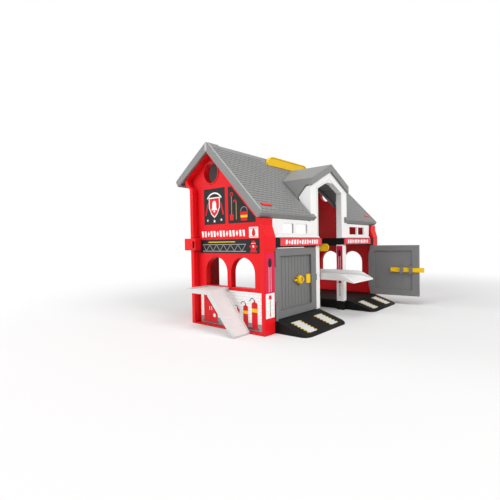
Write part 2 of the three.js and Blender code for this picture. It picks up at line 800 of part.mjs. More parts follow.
// Dormer roof: a small gabled shell that dies into the main slope
function dormerRoof() {
  const half = dormerHalf;
  const shellEave = dormerEave - dormerShell * 1.15;
  const reachY = ridgeY - (ridgeZ - dormerApex) / pitch + 4;
  const shell = alongY([
    [-half, shellEave], [0, dormerApex - dormerShell * 1.15], [half, shellEave],
    [half, dormerEave], [0, dormerApex], [-half, dormerEave],
  ], dormerFrontY, reachY);
  const rake = alongY([
    [-half, dormerEave - dormerRakeDepth], [0, dormerApex - dormerRakeDepth],
    [half, dormerEave - dormerRakeDepth],
    [half, dormerEave], [0, dormerApex], [-half, dormerEave],
  ], dormerFrontY, dormerFrontY + dormerRakeThick);
  let roof = shell.add(rake);
  // Eave skirts and cheeks that come down to the main slope
  for (const side of [-1, 1]) {
    const a = Math.min(side * (half - 3.2), side * half);
    const b = Math.max(side * (half - 3.2), side * half);
    roof = roof.add(alongX([
      [dormerFrontY + 1, dormerEave - dormerRakeDepth + 1.8], [dormerFrontY + 1, dormerEave - 1],
      [92, dormerEave - 1], [92, dormerEave - 40], [cheekBackY + 2, dormerEave - 60],
      [cheekBackY + 1.5, cheekBackZ], [cheekTopY + 1, dormerEave - dormerRakeDepth + 1.8],
    ], a, b));
  }
  const below = alongX([
    [-40, 100], [ridgeY + 30, 100], [ridgeY + 30, frontTopZ(ridgeY + 30)],
    [-40, frontTopZ(-40)],
  ], -half - 2, half + 2);
  roof = roof.subtract(below.subtract(box(-half - 3, half + 3, -41, cheekBackY - 30, 0, 400)));
  return roof;
}
place('dormer_roof', dormerRoof(), 'grey');

// Carry handle that bridges the notch in the ridge
function carryHandle() {
  const faceFront = ridgeY - handleHalfDepth;
  const faceBack = ridgeY + handleHalfDepth;
  const foot = ridgeZ - 34;
  const s = new THREE.Shape();
  s.moveTo(-handleHalf, foot);
  s.lineTo(handleHalf, foot);
  s.lineTo(handleHalf, handleTop - handleBow);
  s.absarc(handleHalf - handleBow, handleTop - handleBow, handleBow, 0, Math.PI / 2, false);
  s.lineTo(-handleHalf + handleBow, handleTop);
  s.absarc(-handleHalf + handleBow, handleTop - handleBow, handleBow, Math.PI / 2, Math.PI, false);
  let h = alongY(s, faceFront, faceBack, 10);
  const inHalf = notchHalf - 3;
  const hollow = alongY(roundRect(-inHalf, inHalf, foot - 1, handleTop - handleRoof, 6),
    faceFront + handleWall, faceBack - handleWall, 5);
  h = h.subtract(hollow);
  // Grip edge above the notch, on both faces
  const frontFoot = frontTopZ(faceFront) + 1.5;
  h = h.subtract(box(-inHalf, inHalf, faceFront - 1, ridgeY, foot - 1, frontFoot));
  h = h.subtract(box(-inHalf, inHalf, ridgeY, faceBack + 1, foot - 1, backTopZ(faceBack) + 1.5));
  // Seat on the two slopes
  const reach = 60;
  const seat = alongX([
    [ridgeY - reach, foot - 40], [ridgeY + reach, foot - 40], [ridgeY + reach, backTopZ(ridgeY + reach)],
    [ridgeY, ridgeZ], [ridgeY - reach, frontTopZ(ridgeY - reach)],
  ], -handleHalf - 2, handleHalf + 2);
  h = h.subtract(seat);
  // Over the ridge only the two outer walls stand on the slopes
  const endGap = box(notchHalf - gapFit, handleHalf + 1,
    faceFront + handleEndWall, faceBack - handleEndWall,
    foot - 1, handleTop + 1);
  h = h.subtract(endGap).subtract(mirrored(endGap));
  // Recessed panel inside a raised rim on both faces
  const pi = handlePanelInset;
  const panelFoot = ridgeZ - 18;
  const panel = new THREE.Shape();
  const pBow = handleBow - pi;
  panel.moveTo(-handleHalf + pi, panelFoot - 20);
  panel.lineTo(handleHalf - pi, panelFoot - 20);
  panel.lineTo(handleHalf - pi, handleTop - handleBow);
  panel.absarc(handleHalf - handleBow, handleTop - handleBow, pBow, 0, Math.PI / 2, false);
  panel.lineTo(-handleHalf + handleBow, handleTop - pi);
  panel.absarc(-handleHalf + handleBow, handleTop - handleBow, pBow, Math.PI / 2, Math.PI, false);
  h = h.subtract(alongY(panel, faceFront - 1, faceFront + handlePanelDepth, 8));
  h = h.subtract(alongY(panel, faceBack - handlePanelDepth, faceBack + 1, 8));
  return h;
}
place('carry_handle', carryHandle(), 'yellow');

// Gate leaf, built closed for the left bay
function gateLeaf() {
  const y0 = gateFrontY;
  const y1 = gateFrontY + gateThick;
  let leaf = alongY([
    [-gateOuter + gateNotchWide, gateBottom], [-gateInner, gateBottom], [-gateInner, gateTop],
    [-gateOuter + gateNotchWide, gateTop], [-gateOuter, gateTop - gateNotchTall],
    [-gateOuter, gateBottom + gateNotchTall],
  ], y0, y1);
  const px0 = -gateOuter + gateHingeFrame;
  const px1 = -gateInner - gateLockFrame;
  const pz0 = gateBottom + gateFrame;
  const pz1 = gateTop - gateFrame;
  leaf = leaf.subtract(alongY(roundRect(px0, px1, pz0, pz1, 3), y0 - 1, y0 + gatePanelFront, 4));
  leaf = leaf.subtract(alongY(roundRect(px0, px1, pz0, pz1, 3), y1 - gatePanelBack, y1 + 1, 4));
  for (let i = 1; i <= grooveCount; i += 1) {
    const gx = px0 + (px1 - px0) * i / (grooveCount + 1);
    leaf = leaf.subtract(box(gx - grooveWidth / 2, gx + grooveWidth / 2,
      y0 + gatePanelFront - 1, y0 + gatePanelFront + grooveDepth, pz0 + 2, pz1 - 2));
  }
  // Slot for the knob stem and channel for the bolt through the lock stile
  const slotX0 = -knobX + boltDraw - boltTravel - stemRadius - gapMove;
  const slotX1 = -knobX + boltDraw + stemRadius + gapMove;
  leaf = leaf.subtract(box(slotX0, slotX1, y0 - 1, y1 + 1,
    boltZ - stemRadius - gapMove, boltZ + stemRadius + gapMove));
  const yb = gateBoltBack();
  leaf = leaf.subtract(box(px1 - 1, -gateInner + 1, yb - gapMove / 2, y1 + 1,
    boltZ - boltTall / 2 - gapMove, boltZ + boltTall / 2 + gapMove));
  // Keeper bridges over the bolt on the inner face
  for (const kx of [-108, -gateInner - gateLockFrame + 1]) {
    const k0 = kx - keeperWide;
    const k1 = kx;
    const bridge = box(k0, k1, yb - 1.5, yb + boltThick + gapMove + 2.2,
      boltZ - boltTall / 2 - 4, boltZ + boltTall / 2 + 4)
      .subtract(box(k0 - 1, k1 + 1, yb - 2, yb + boltThick + gapMove,
        boltZ - boltTall / 2 - gapMove, boltZ + boltTall / 2 + gapMove));
    leaf = leaf.add(bridge);
  }
  // Pins at the hinge side
  const hx = -gateOuter + pinInset;
  const hy = pinY;
  leaf = leaf.add(cylinderZ(hx, hy, pinRadius, baseTop - pinLength, gateBottom + gateNotchTall + 6));
  leaf = leaf.add(cylinderZ(hx, hy, pinRadius, gateTop - gateNotchTall - 6, slabUnder + pinLength));
  return leaf;
}
const leftGate = gateLeaf();
place('gate_left', leftGate, 'gateGrey');

// Sliding bolt, knob and shield, built on the closed left gate; draw is how far the bolt stands back
function gateBolt(draw) {
  const yb = gateBoltBack();
  const tip = -gateInner + boltReach - draw;
  const rear = -boltInner - draw;
  let bar = box(rear, tip, yb, yb + boltThick, boltZ - boltTall / 2, boltZ + boltTall / 2);
  const pad = box(rear, rear + boltPad, yb + boltThick - 1, yb + boltThick + boltPadProud,
    boltZ - boltTall / 2 + 1.5, boltZ + boltTall / 2 - 1.5);
  bar = bar.add(pad);
  return bar.subtract(alongZ([
    [tip - 4, yb - 1], [tip + 1, yb - 1], [tip + 1, yb + boltThick + 1],
  ], boltZ - boltTall, boltZ + boltTall));
}
const leftBolt = gateBolt(boltDraw);
place('bolt_left', leftBolt, 'yellow');

function gateKnob() {
  const yb = gateBoltBack();
  const face = gateFrontY - knobDeep + gatePanelFront;
  const back = gateFrontY + gatePanelFront - gapMove;
  let k = cylinderY(-knobX, boltZ, knobRadius, face + 2, back, knobSides);
  k = k.add(cylinderY(-knobX, boltZ, knobRadius, face, face + 2, knobSides, knobRadius - 2));
  k = k.subtract(cylinderY(-knobX, boltZ, knobRadius * 0.52, face - 1, face + 2.4, 20));
  k = k.add(cylinderY(-knobX, boltZ, stemRadius, back - 1, yb, 20));
  k = k.add(box(-knobX - knobRadius - pointerLength, -knobX - knobRadius + 2,
    back - 4, back, boltZ - pointerTall / 2, boltZ + pointerTall / 2));
  const ringX = -knobX + knobRadius + ringRadius - 1.6;
  k = k.add(cylinderY(ringX, boltZ, ringRadius, back - 4, back, 20)
    .subtract(cylinderY(ringX, boltZ, ringRadius * 0.5, back - 5, back - 2, 16)));
  return k;
}
const leftKnob = gateKnob();
place('knob_left', leftKnob, 'yellow');

function gateShield() {
  const back = gateFrontY + gatePanelFront;
  return alongY(roundRect(-shieldOuter, -shieldInner, shieldLow, shieldHigh, 1.5),
    back - shieldThick, back, 3);
}
const leftShield = gateShield();
place('latch_shield_left', leftShield, 'yellow');

// The right gate is the mirror image, swung open by a right angle about its pins
const hingeX = gateOuter - pinInset;
function openRight(solid) {
  const g = geometryFrom(mirrored(solid));
  g.translate(-hingeX, -pinY, 0);
  g.rotateZ(THREE.MathUtils.degToRad(openAngle));
  g.translate(hingeX, pinY, 0);
  return solidFrom(g);
}
place('gate_right', openRight(leftGate), 'gateGrey');
place('bolt_right', openRight(gateBolt(0)), 'yellow');
place('knob_right', openRight(leftKnob.translate([boltDraw, 0, 0])), 'yellow');
place('latch_shield_right', openRight(leftShield), 'yellow');

// Sign strips with a raised rim
function signStrip() {
  const s = alongY(roundRect(-signOuter, -signInner, signBottom, signTop, 1), signFrontY, slabFrontY, 3);
  return s.subtract(alongY(roundRect(-signOuter + signRim, -signInner - signRim, signBottom + signRim,
    signTop - signRim, 0.6), signFrontY - 1, signFrontY + signRecess, 3));
}
const leftSign = signStrip();
place('sign_strip_left', leftSign, 'coral');
place('sign_strip_right', mirrored(leftSign), 'coral');

// Lift tray with a drive-on lip
function liftTray() {
  const side = [
    [trayFrontY, trayBottom], [lipFrontY, lipBottom], [lipFrontY, lipTop],
    [trayFrontY - 6, trayFloorZ + 4], [trayFrontY + 4, trayTop - 1.5], [trayFrontY + 10, trayTop],
    [trayBackY, trayTop], [trayBackY, trayBottom],
  ].reverse();
  let tray = alongX(side, -trayHalf, trayHalf);
  const inHalf = trayHalf - trayWall;
  tray = tray.subtract(alongX([
    [lipFrontY - 1, lipTop - 0.6], [trayFrontY - 2, trayFloorZ - 1.5], [trayFrontY + 8, trayFloorZ],
    [trayBackY - trayWall, trayFloorZ], [trayBackY - trayWall, trayTop + 1], [lipFrontY - 1, trayTop + 1],
  ], -inHalf, inHalf));
  tray = tray.subtract(alongX([
    [trayFrontY + 3, trayBottom - 1], [trayBackY - trayWall, trayBottom - 1],
    [trayBackY - trayWall, trayFloorZ - 2.5], [trayFrontY + 3, trayFloorZ - 2.5],
  ], -inHalf, inHalf));
  for (const s of [-1, 1]) {
    const a = Math.min(s * (trayHalf - 1), s * trayEarHalf);
    const b = Math.max(s * (trayHalf - 1), s * trayEarHalf);
    tray = tray.add(box(a, b, postBackY + gapMove, postBackY + gapMove + trayEarDepth,
      trayBottom, trayTop));
  }
  return tray;
}
place('lift_tray', liftTray(), 'white');

// Oval lever pinned to the left post
function liftLever() {
  const x0 = -postHalf + gapMove / 2;
  const x1 = x0 + leverThick;
  const s = new THREE.Shape();
  s.absarc(leverTipY + leverRadius, leverZ, leverRadius, Math.PI / 2, Math.PI * 1.5, false);
  s.lineTo(leverPivotY, leverZ - leverRadius * 0.9);
  s.absarc(leverPivotY, leverZ, leverRadius * 0.9, -Math.PI / 2, Math.PI / 2, false);
  let lever = alongX(s, x0, x1, 10);
  const r = leverRadius - leverRim;
  const pocket = new THREE.Shape();
  pocket.absarc(leverTipY + leverRadius, leverZ, r, Math.PI / 2, Math.PI * 1.5, false);
  pocket.lineTo(leverPivotY - leverRadius - 2, leverZ - r);
  pocket.lineTo(leverPivotY - leverRadius - 2, leverZ + r);
  lever = lever.subtract(alongX(pocket, x1 - leverRecess, x1 + 1, 10));
  lever = lever.subtract(alongX(pocket, x0 - 1, x0 + leverRecess, 10));
  lever = lever.add(cylinderX(leverPivotY, leverZ, leverPinRadius, x0 - leverPinLength, x0 + 1, 20));
  return lever;
}
place('lift_lever', liftLever(), 'yellow');

// Balcony platform under the back arch
function balcony() {
  const x0 = -halfLength - slideOuter;
  const x1 = -halfLength + wallRecess;
  const z1 = balconyTop;
  const z0 = balconyTop - balconyThick;
  let b = box(x0, x1, balconyFrontY, balconyBackY, z0, z1);
  b = b.subtract(box(x0 + balconyRailWide, -halfLength - slideInner - balconyRailWide + 14,
    balconyFrontY - 1, balconyBackY - balconyRailWide, z1 - balconyRail, z1 + 1));
  b = b.subtract(box(x0 + balconyRailWide, -halfLength - slideInner - 4,
    balconyFrontY + 12, balconyBackY - balconyRailWide, z0 - 1, z1 - balconyRail - 2.4));
  return b;
}
place('balcony_platform', balcony(), 'white');

// Slide from the balcony down to the ground, beside the wall
function slideRamp() {
  const x0 = -halfLength - slideOuter;
  const x1 = -halfLength - slideInner;
  const topY = balconyFrontY - gapFit;
  const topZ = slideTopZ;
  const run = topY - slideFootY;
  const rise = topZ - slideToe;
  const slant = rise / run;
  const drop = slideThick * Math.hypot(1, slant);
  const side = [
    [topY, topZ], [topY - 3, topZ], [slideFootY, slideToe + slideRail * 0.4], [slideFootY, 0],
    [slideFootY + 3, 0], [topY, topZ - drop - slideRail],
  ];
  let ramp = alongX(side, x0, x1);
  const well = [
    [topY + 1, topZ - slideRail * 0.44], [topY - 3, topZ - slideRail * 0.44],
    [slideFootY - 1, slideToe - slideRail * 0.1], [slideFootY - 1, topZ + 5], [topY + 1, topZ + 5],
  ];
  ramp = ramp.subtract(alongX(well, x0 + slideRailWide, x1 - slideRailWide));
  // Cross treads
  for (let i = 1; i <= treadCount; i += 1) {
    const y = topY - 6 - (run - 12) * i / (treadCount + 1);
    const z = topZ - slideRail * 0.44
      - (topY - 3 - y) * (topZ - slideRail * 0.34 - slideToe) / (topY - 2 - slideFootY);
    ramp = ramp.add(alongX([
      [y - treadDeep, z - treadDeep * slant - 0.8], [y + treadDeep, z + treadDeep * slant - 0.8],
      [y, z + treadTall],
    ], x0 + slideRailWide - 0.5, x1 - slideRailWide + 0.5));
  }
  return ramp;
}
place('slide_ramp', slideRamp(), 'white');

// Assemble with the origin at the centre of the underside
const bounds = new THREE.Box3();
const built = pieces.map(([name, solid, finish]) => {
  const g = geometryFrom(solid);
  g.computeBoundingBox();
  bounds.union(g.boundingBox);
  return [name, g, finish];
});
const shiftX = -(bounds.min.x + bounds.max.x) / 2;
const shiftY = -(bounds.min.y + bounds.max.y) / 2;
for (const [name, g, finish] of built) {
  g.translate(shiftX, shiftY, -bounds.min.z);
  const mesh = new THREE.Mesh(g, new THREE.MeshStandardMaterial(paint[finish]));
  mesh.name = name;
  group.add(mesh);
}

export default group;
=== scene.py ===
# Toy fire station: finishes, roof shingles, stickers, floor, light and camera
import json
import math

import bmesh
import bpy
from mathutils import Matrix, Vector


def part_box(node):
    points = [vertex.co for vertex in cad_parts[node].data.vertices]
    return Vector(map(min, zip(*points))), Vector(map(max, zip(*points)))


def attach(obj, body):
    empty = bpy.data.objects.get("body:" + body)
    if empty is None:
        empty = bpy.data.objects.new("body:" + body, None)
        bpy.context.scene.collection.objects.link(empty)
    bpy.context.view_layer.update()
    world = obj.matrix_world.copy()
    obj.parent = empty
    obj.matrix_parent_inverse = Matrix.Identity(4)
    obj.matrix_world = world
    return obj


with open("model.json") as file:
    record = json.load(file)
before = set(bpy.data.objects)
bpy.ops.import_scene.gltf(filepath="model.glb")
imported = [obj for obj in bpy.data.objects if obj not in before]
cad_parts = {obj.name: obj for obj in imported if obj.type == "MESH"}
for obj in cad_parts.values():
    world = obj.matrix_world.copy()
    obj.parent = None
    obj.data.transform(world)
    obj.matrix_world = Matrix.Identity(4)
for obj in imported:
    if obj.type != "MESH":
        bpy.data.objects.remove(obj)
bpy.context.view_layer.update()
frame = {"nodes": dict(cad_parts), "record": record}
nodes = frame["nodes"]

# House frame: x from the middle of the facade, y from the wall front to the open back, z from the floor.
# Sizes are in millimetres in that frame; floor, world and lamps are in metres.
MM = 0.001
HOUSE = "house"
SIDES = ((-1, "left"), (1, "right"))
SLOPES = ((True, "front"), (False, "back"))
AXIS_X = (1, 0, 0)
AXIS_Y = (0, 1, 0)
AXIS_Z = (0, 0, 1)
FORWARD = (0, -1, 0)
EAVE_Y = -6
roof_low, roof_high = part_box("roof_front")
HOUSE_X = (roof_low.x + roof_high.x) / 2
HOUSE_Y = roof_low.y - EAVE_Y * MM


def at(x, y, z):
    return Vector((HOUSE_X + x * MM, HOUSE_Y + y * MM, z * MM))


# Moulded plastic: flow mottling, a painted highlight on rounded edges, painted shade in nooks, uneven
# gloss and mould grain
FLOW_SCALE = 26
FLOW_DETAIL = 4
FLOW_RANGE = (0.3, 0.7)
BEVEL_SAMPLES = 4
# Painted highlight on rounded edges: bevel facing range, share towards white, and gain
HIGHLIGHT_RANGE = (0.995, 0.85)
HIGHLIGHT_PALER = 0.08
HIGHLIGHT_GAIN = 1.12
# Painted shade in nooks: occlusion samples and the occlusion range that darkens the colour
NOOK_SHADE_SAMPLES = 6
NOOK_SHADE_RANGE = (0.3, 0.9)
GLOSS_SCALE = 60
GLOSS_DETAIL = 3
GLOSS_SPREAD = 0.05
GRAIN_SCALE = 1400
GRAIN_DETAIL = 2
GRAIN_DEPTH = 0.2
COAT_ROUGHNESS = 0.2

# Printed film: tone and ripple
FILM_SCALE = 90
FILM_DETAIL = 3
FILM_MOTTLE = 0.03
FILM_ROUGHNESS = 0.38
FILM_SHINE = 0.25
RIPPLE_SCALE = 300
RIPPLE_DETAIL = 2
RIPPLE_STRENGTH = 0.03
RIPPLE_DEPTH = 0.1


# Materials
def new_material(name):
    material = bpy.data.materials.new(name)
    material.use_nodes = True
    tree = material.node_tree
    tree.nodes.clear()
    out = tree.nodes.new("ShaderNodeOutputMaterial")
    shader = tree.nodes.new("ShaderNodeBsdfPrincipled")
    tree.links.new(shader.outputs["BSDF"], out.inputs["Surface"])
    return material, tree, shader


def linear(colour):
    """Display colour as linear light, by the standard curve."""
    return [c / 12.92 if c <= 0.04045 else ((c + 0.055) / 1.055) ** 2.4 for c in colour]


def shade(colour, share):
    return [min(1, c * share) for c in linear(colour)] + [1]


def noise(tree, scale, detail):
    coords = tree.nodes.new("ShaderNodeTexCoord")
    texture = tree.nodes.new("ShaderNodeTexNoise")
    texture.inputs["Scale"].default_value = scale
    texture.inputs["Detail"].default_value = detail
    tree.links.new(coords.outputs["Object"], texture.inputs["Vector"])
    return texture.outputs["Fac"]


def remap(tree, value, source=(0, 1), target=(0, 1)):
    """The value carried over from the source range to the target range, and held inside it."""
    ranged = tree.nodes.new("ShaderNodeMapRange")
    for label, limit in zip(("From Min", "From Max", "To Min", "To Max"), (*source, *target)):
        ranged.inputs[label].default_value = limit
    tree.links.new(value, ranged.inputs["Value"])
    return ranged.outputs["Result"]


def colour_mix(tree, blend="MIX"):
    mix = tree.nodes.new("ShaderNodeMix")
    mix.data_type = "RGBA"
    mix.blend_type = blend
    return mix


def mottled(tree, colour, mottle, factor):
    """The colour, a little darker and a little paler by turns."""
    mix = colour_mix(tree)
    mix.inputs["A"].default_value = shade(colour, 1 - mottle)
    mix.inputs["B"].default_value = shade(colour, 1 + mottle)
    tree.links.new(factor, mix.inputs["Factor"])
    return mix.outputs["Result"]


def new_bump(tree, height, strength, depth):
    bump = tree.nodes.new("ShaderNodeBump")
    bump.inputs["Strength"].default_value = strength
    bump.inputs["Distance"].default_value = depth * MM
    tree.links.new(height, bump.inputs["Height"])
    return bump


def plastic(name, colour, roughness, grain=0.06, bevel=0.8, coat=0.0, mottle=0.05,
            nook_shade=0.5, reach=6, shine=0.35):
    """Moulded plastic: faint flow mottling, fine mould grain, a painted highlight on soft rounded edges
    and painted shade in nooks.
    """
    material, tree, shader = new_material(name)
    link = tree.links.new
    flow = remap(tree, noise(tree, FLOW_SCALE, FLOW_DETAIL), FLOW_RANGE)

    # Rounded edges, painted a little paler as a painted highlight where they would catch the light
    rounded = tree.nodes.new("ShaderNodeBevel")
    rounded.samples = BEVEL_SAMPLES
    rounded.inputs["Radius"].default_value = bevel * MM
    geometry = tree.nodes.new("ShaderNodeNewGeometry")
    facing = tree.nodes.new("ShaderNodeVectorMath")
    facing.operation = "DOT_PRODUCT"
    link(rounded.outputs["Normal"], facing.inputs[0])
    link(geometry.outputs["Normal"], facing.inputs[1])
    edge_highlight = colour_mix(tree)
    link(remap(tree, facing.outputs["Value"], HIGHLIGHT_RANGE), edge_highlight.inputs["Factor"])
    link(mottled(tree, colour, mottle, flow), edge_highlight.inputs["A"])
    edge_highlight.inputs["B"].default_value = shade([c + (1 - c) * HIGHLIGHT_PALER for c in colour], HIGHLIGHT_GAIN)

    # Painted shade: the colour darkened by ambient occlusion where faces meet
    corner = tree.nodes.new("ShaderNodeAmbientOcclusion")
    corner.samples = NOOK_SHADE_SAMPLES
    corner.inputs["Distance"].default_value = reach * MM
    painted_shade = colour_mix(tree, "MULTIPLY")
    painted_shade.inputs["Factor"].default_value = 1
    link(edge_highlight.outputs["Result"], painted_shade.inputs["A"])
    link(remap(tree, corner.outputs["AO"], NOOK_SHADE_RANGE, (nook_shade, 1)), painted_shade.inputs["B"])
    link(painted_shade.outputs["Result"], shader.inputs["Base Color"])

    # Gloss that varies a little
    gloss_range = (roughness - GLOSS_SPREAD, roughness + GLOSS_SPREAD)
    gloss = remap(tree, noise(tree, GLOSS_SCALE, GLOSS_DETAIL), target=gloss_range)
    link(gloss, shader.inputs["Roughness"])

    # Mould grain
    bump = new_bump(tree, noise(tree, GRAIN_SCALE, GRAIN_DETAIL), grain, GRAIN_DEPTH)
    link(rounded.outputs["Normal"], bump.inputs["Normal"])
    link(bump.outputs["Normal"], shader.inputs["Normal"])
    shader.inputs["Coat Weight"].default_value = coat
    shader.inputs["Coat Roughness"].default_value = COAT_ROUGHNESS
    shader.inputs["Specular IOR Level"].default_value = shine
    return material


def print_film(name, colour):
    """Printed sticker film: a smooth satin sheet with a faint ripple from the glue below."""
    material, tree, shader = new_material(name)
    link = tree.links.new
    cloud = noise(tree, FILM_SCALE, FILM_DETAIL)
    link(mottled(tree, colour, FILM_MOTTLE, cloud), shader.inputs["Base Color"])
    bump = new_bump(tree, noise(tree, RIPPLE_SCALE, RIPPLE_DETAIL), RIPPLE_STRENGTH, RIPPLE_DEPTH)
    link(bump.outputs["Normal"], shader.inputs["Normal"])
    shader.inputs["Roughness"].default_value = FILM_ROUGHNESS
    shader.inputs["Specular IOR Level"].default_value = FILM_SHINE
    return material


RED = plastic("red_plastic", (0.89, 0.07, 0.105), roughness=0.42, coat=0.04, bevel=1.2, shine=0.22)
BLACK = plastic("black_plastic", (0.04, 0.04, 0.04), roughness=0.62, grain=0.1, shine=0.22)
WHITE = plastic("white_plastic", (0.93, 0.93, 0.925), roughness=0.4, mottle=0.015, nook_shade=0.6)
# A darker copy of the white plastic as painted shade, with a wide reach so the slide's channel gets
# painted shade
SHADED_TRACK_WHITE = plastic("shaded_white_track_plastic", (0.835, 0.835, 0.83), roughness=0.4, mottle=0.015,
                      nook_shade=0.62, reach=22)
GREY = plastic("grey_roof_plastic", (0.515, 0.515, 0.513), roughness=0.55, grain=0.14, mottle=0.03)
# Pale grey for the painted highlight strips on the roof lips and for the apex tongues
PALE_GREY = plastic("pale_grey_plastic", (0.70, 0.70, 0.70), roughness=0.3, mottle=0.02)
GATE_GREY = plastic("grey_gate_plastic", (0.455, 0.455, 0.455), roughness=0.5, grain=0.1,
                    mottle=0.03, nook_shade=0.8)
YELLOW = plastic("yellow_plastic", (0.94, 0.755, 0.03), roughness=0.42, coat=0.04, mottle=0.03)
CORAL = plastic("coral_plastic", (0.91, 0.27, 0.30), roughness=0.42, mottle=0.03)

INK_BLACK = print_film("ink_black", (0.11, 0.11, 0.12))
INK_GREY = print_film("ink_grey", (0.60, 0.60, 0.60))
INK_DARK_GREY = print_film("ink_dark_grey", (0.38, 0.39, 0.40))
INK_PALE = print_film("ink_pale", (0.82, 0.83, 0.84))
INK_WHITE = print_film("ink_white", (0.96, 0.96, 0.955))
INK_RED = print_film("ink_red", (0.86, 0.10, 0.14))
INK_DEEP_RED = print_film("ink_deep_red", (0.62, 0.05, 0.10))
INK_MAGENTA = print_film("ink_magenta", (0.86, 0.08, 0.29))
INK_YELLOW = print_film("ink_yellow", (0.96, 0.80, 0.12))
INK_TAN = print_film("ink_tan", (0.66, 0.52, 0.36))

# Finish of each material slot; the platform and the slide have a darker copy of the white as painted
# shade, with wider painted shade in their channels
FINISH = {
    "red": RED,
    "black": BLACK,
    "white": WHITE,
    "grey": GREY,
    "gate_grey": GATE_GREY,
    "yellow": YELLOW,
    "coral": CORAL,
}
TRACK_NODES = ("balcony_platform", "slide_ramp")


def dress_cad_nodes():
    for row in frame["record"]["subparts"]:
        node = nodes[row["node"]]
        node.data.materials.clear()
        finish = SHADED_TRACK_WHITE if row["node"] in TRACK_NODES else FINISH[row["material_slot"]]
        node.data.materials.append(finish)


dress_cad_nodes()


# Flat outlines
def rect(a0, a1, b0, b1):
    return [(a0, b0), (a1, b0), (a1, b1), (a0, b1)]


def bar(middle, half, b0, b1):
    return rect(middle - half, middle + half, b0, b1)


def disc(a, b, radius, sides, tall=None):
    tall = radius if tall is None else tall
    turns = [2 * math.pi * i / sides for i in range(sides)]
    return [(a + radius * math.cos(t), b + tall * math.sin(t)) for t in turns]


def arc(a, b, radius, start, end, steps):
    """Points of an arc between two angles in degrees."""
    turns = [math.radians(start + (end - start) * i / steps) for i in range(steps + 1)]
    return [(a + radius * math.cos(t), b + radius * math.sin(t)) for t in turns]


CORNER_STEPS = 5


def soft_rect(a0, a1, b0, b1, radius):
    left, right = a0 + radius, a1 - radius
    low, high = b0 + radius, b1 - radius
    points = []
    for a, b, start in ((right, low, -90), (right, high, 0), (left, high, 90), (left, low, 180)):
        points += arc(a, b, radius, start, start + 90, CORNER_STEPS)
    return points


def stroke(a0, b0, a1, b1, width):
    half = width / 2 / math.hypot(a1 - a0, b1 - b0)
    na, nb = -(b1 - b0) * half, (a1 - a0) * half
    return [(a0 - na, b0 - nb), (a1 - na, b1 - nb), (a1 + na, b1 + nb), (a0 + na, b0 + nb)]


def arc_band(a, b, radius, width, start, end, steps=18):
    outer = arc(a, b, radius + width / 2, start, end, steps)
    inner = arc(a, b, radius - width / 2, start, end, steps)
    return outer + inner[::-1]


STAR_POINTS = 5
STAR_INNER = 0.42


def star(a, b, radius):
    ring = []
    for i in range(2 * STAR_POINTS):
        reach = radius * STAR_INNER if i % 2 else radius
        turn = math.pi / 2 + math.pi * i / STAR_POINTS
        ring.append((a + reach * math.cos(turn), b + reach * math.sin(turn)))
    return ring


def both_halves(middle, half):
    """Closed outline from its right half, whose last point lies on the middle line."""
    return [(middle + a, b) for a, b in half] + [(middle - a, b) for a, b in half[-2::-1]]


MARK_LEAN = 1.2


def title_marks(starts, wide, low, high, every):
    """A row of leaning bars with a diamond at every so many."""
    full = wide + MARK_LEAN
    middle = (low + high) / 2
    outlines = []
    for i, a in enumerate(starts):
        if i % every == every - 1:
            outlines.append([(a + full / 2, low), (a + full, middle), (a + full / 2, high), (a, middle)])
        else:
            outlines.append([(a, low), (a + wide, low), (a + full, high), (a + MARK_LEAN, high)])
    return outlines


# Pieces
class Plane:
    """A flat face: outline point (a, b) lies at origin + a * u + b * v, and height counts along normal."""

    def __init__(self, origin, u, v, normal):
        self.origin = Vector(origin)
        self.u = Vector(u)
        self.v = Vector(v)
        self.normal = Vector(normal)

    def place(self, a, b, height):
        return at(*(self.origin + self.u * a + self.v * b + self.normal * height))


def add_piece(name, mesh, material):
    """Makes the mesh a piece of the house."""
    bmesh.ops.recalc_face_normals(mesh, faces=mesh.faces)
    data = bpy.data.meshes.new(name)
    mesh.to_mesh(data)
    mesh.free()
    data.materials.append(material)
    piece = bpy.data.objects.new(name, data)
    bpy.context.scene.collection.objects.link(piece)
    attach(piece, HOUSE)
    return piece


def close_plate(mesh, bottom, top):
    """Faces of a thin closed plate between two loops of vertices."""
    mesh.faces.new(top)
    mesh.faces.new(bottom[::-1])
    for i in range(len(top)):
        j = (i + 1) % len(top)
        mesh.faces.new((bottom[i], bottom[j], top[j], top[i]))


STICKER = 0.14
LAYER = 0.07


def plates(name, material, plane, outlines, level=0, thick=STICKER):
    """One piece made of thin closed plates on a plane; each level lies a layer further out."""
    mesh = bmesh.new()
    low = level * LAYER
    high = low + thick
    for outline in outlines:
        area = sum(p[0] * q[1] - q[0] * p[1] for p, q in zip(outline, outline[1:] + outline[:1]))
        points = outline if area > 0 else outline[::-1]
        bottom = [mesh.verts.new(plane.place(a, b, low)) for a, b in points]
        top = [mesh.verts.new(plane.place(a, b, high)) for a, b in points]
        close_plate(mesh, bottom, top)
    add_piece(name, mesh, material)


BEAD_TURNS = 56
BEAD_ARCS = 8


def bead(name, material, plane, centre, radius, width, rise):
    """A ring of half-round section that lies on a plane."""
    mesh = bmesh.new()
    rings = []
    for i in range(BEAD_TURNS):
        turn = 2 * math.pi * i / BEAD_TURNS
        ring = []
        for k in range(BEAD_ARCS + 1):
            across = math.pi * k / BEAD_ARCS
            reach = radius + width / 2 * (1 - math.cos(across))
            a = centre[0] + reach * math.cos(turn)
            b = centre[1] + reach * math.sin(turn)
            ring.append(mesh.verts.new(plane.place(a, b, rise * math.sin(across))))
        rings.append(ring)
    for ring, following in zip(rings, rings[1:] + rings[:1]):
        for k in range(BEAD_ARCS + 1):
            n = (k + 1) % (BEAD_ARCS + 1)
            face = mesh.faces.new((ring[k], ring[n], following[n], following[k]))
            face.smooth = True
    add_piece(name, mesh, material)


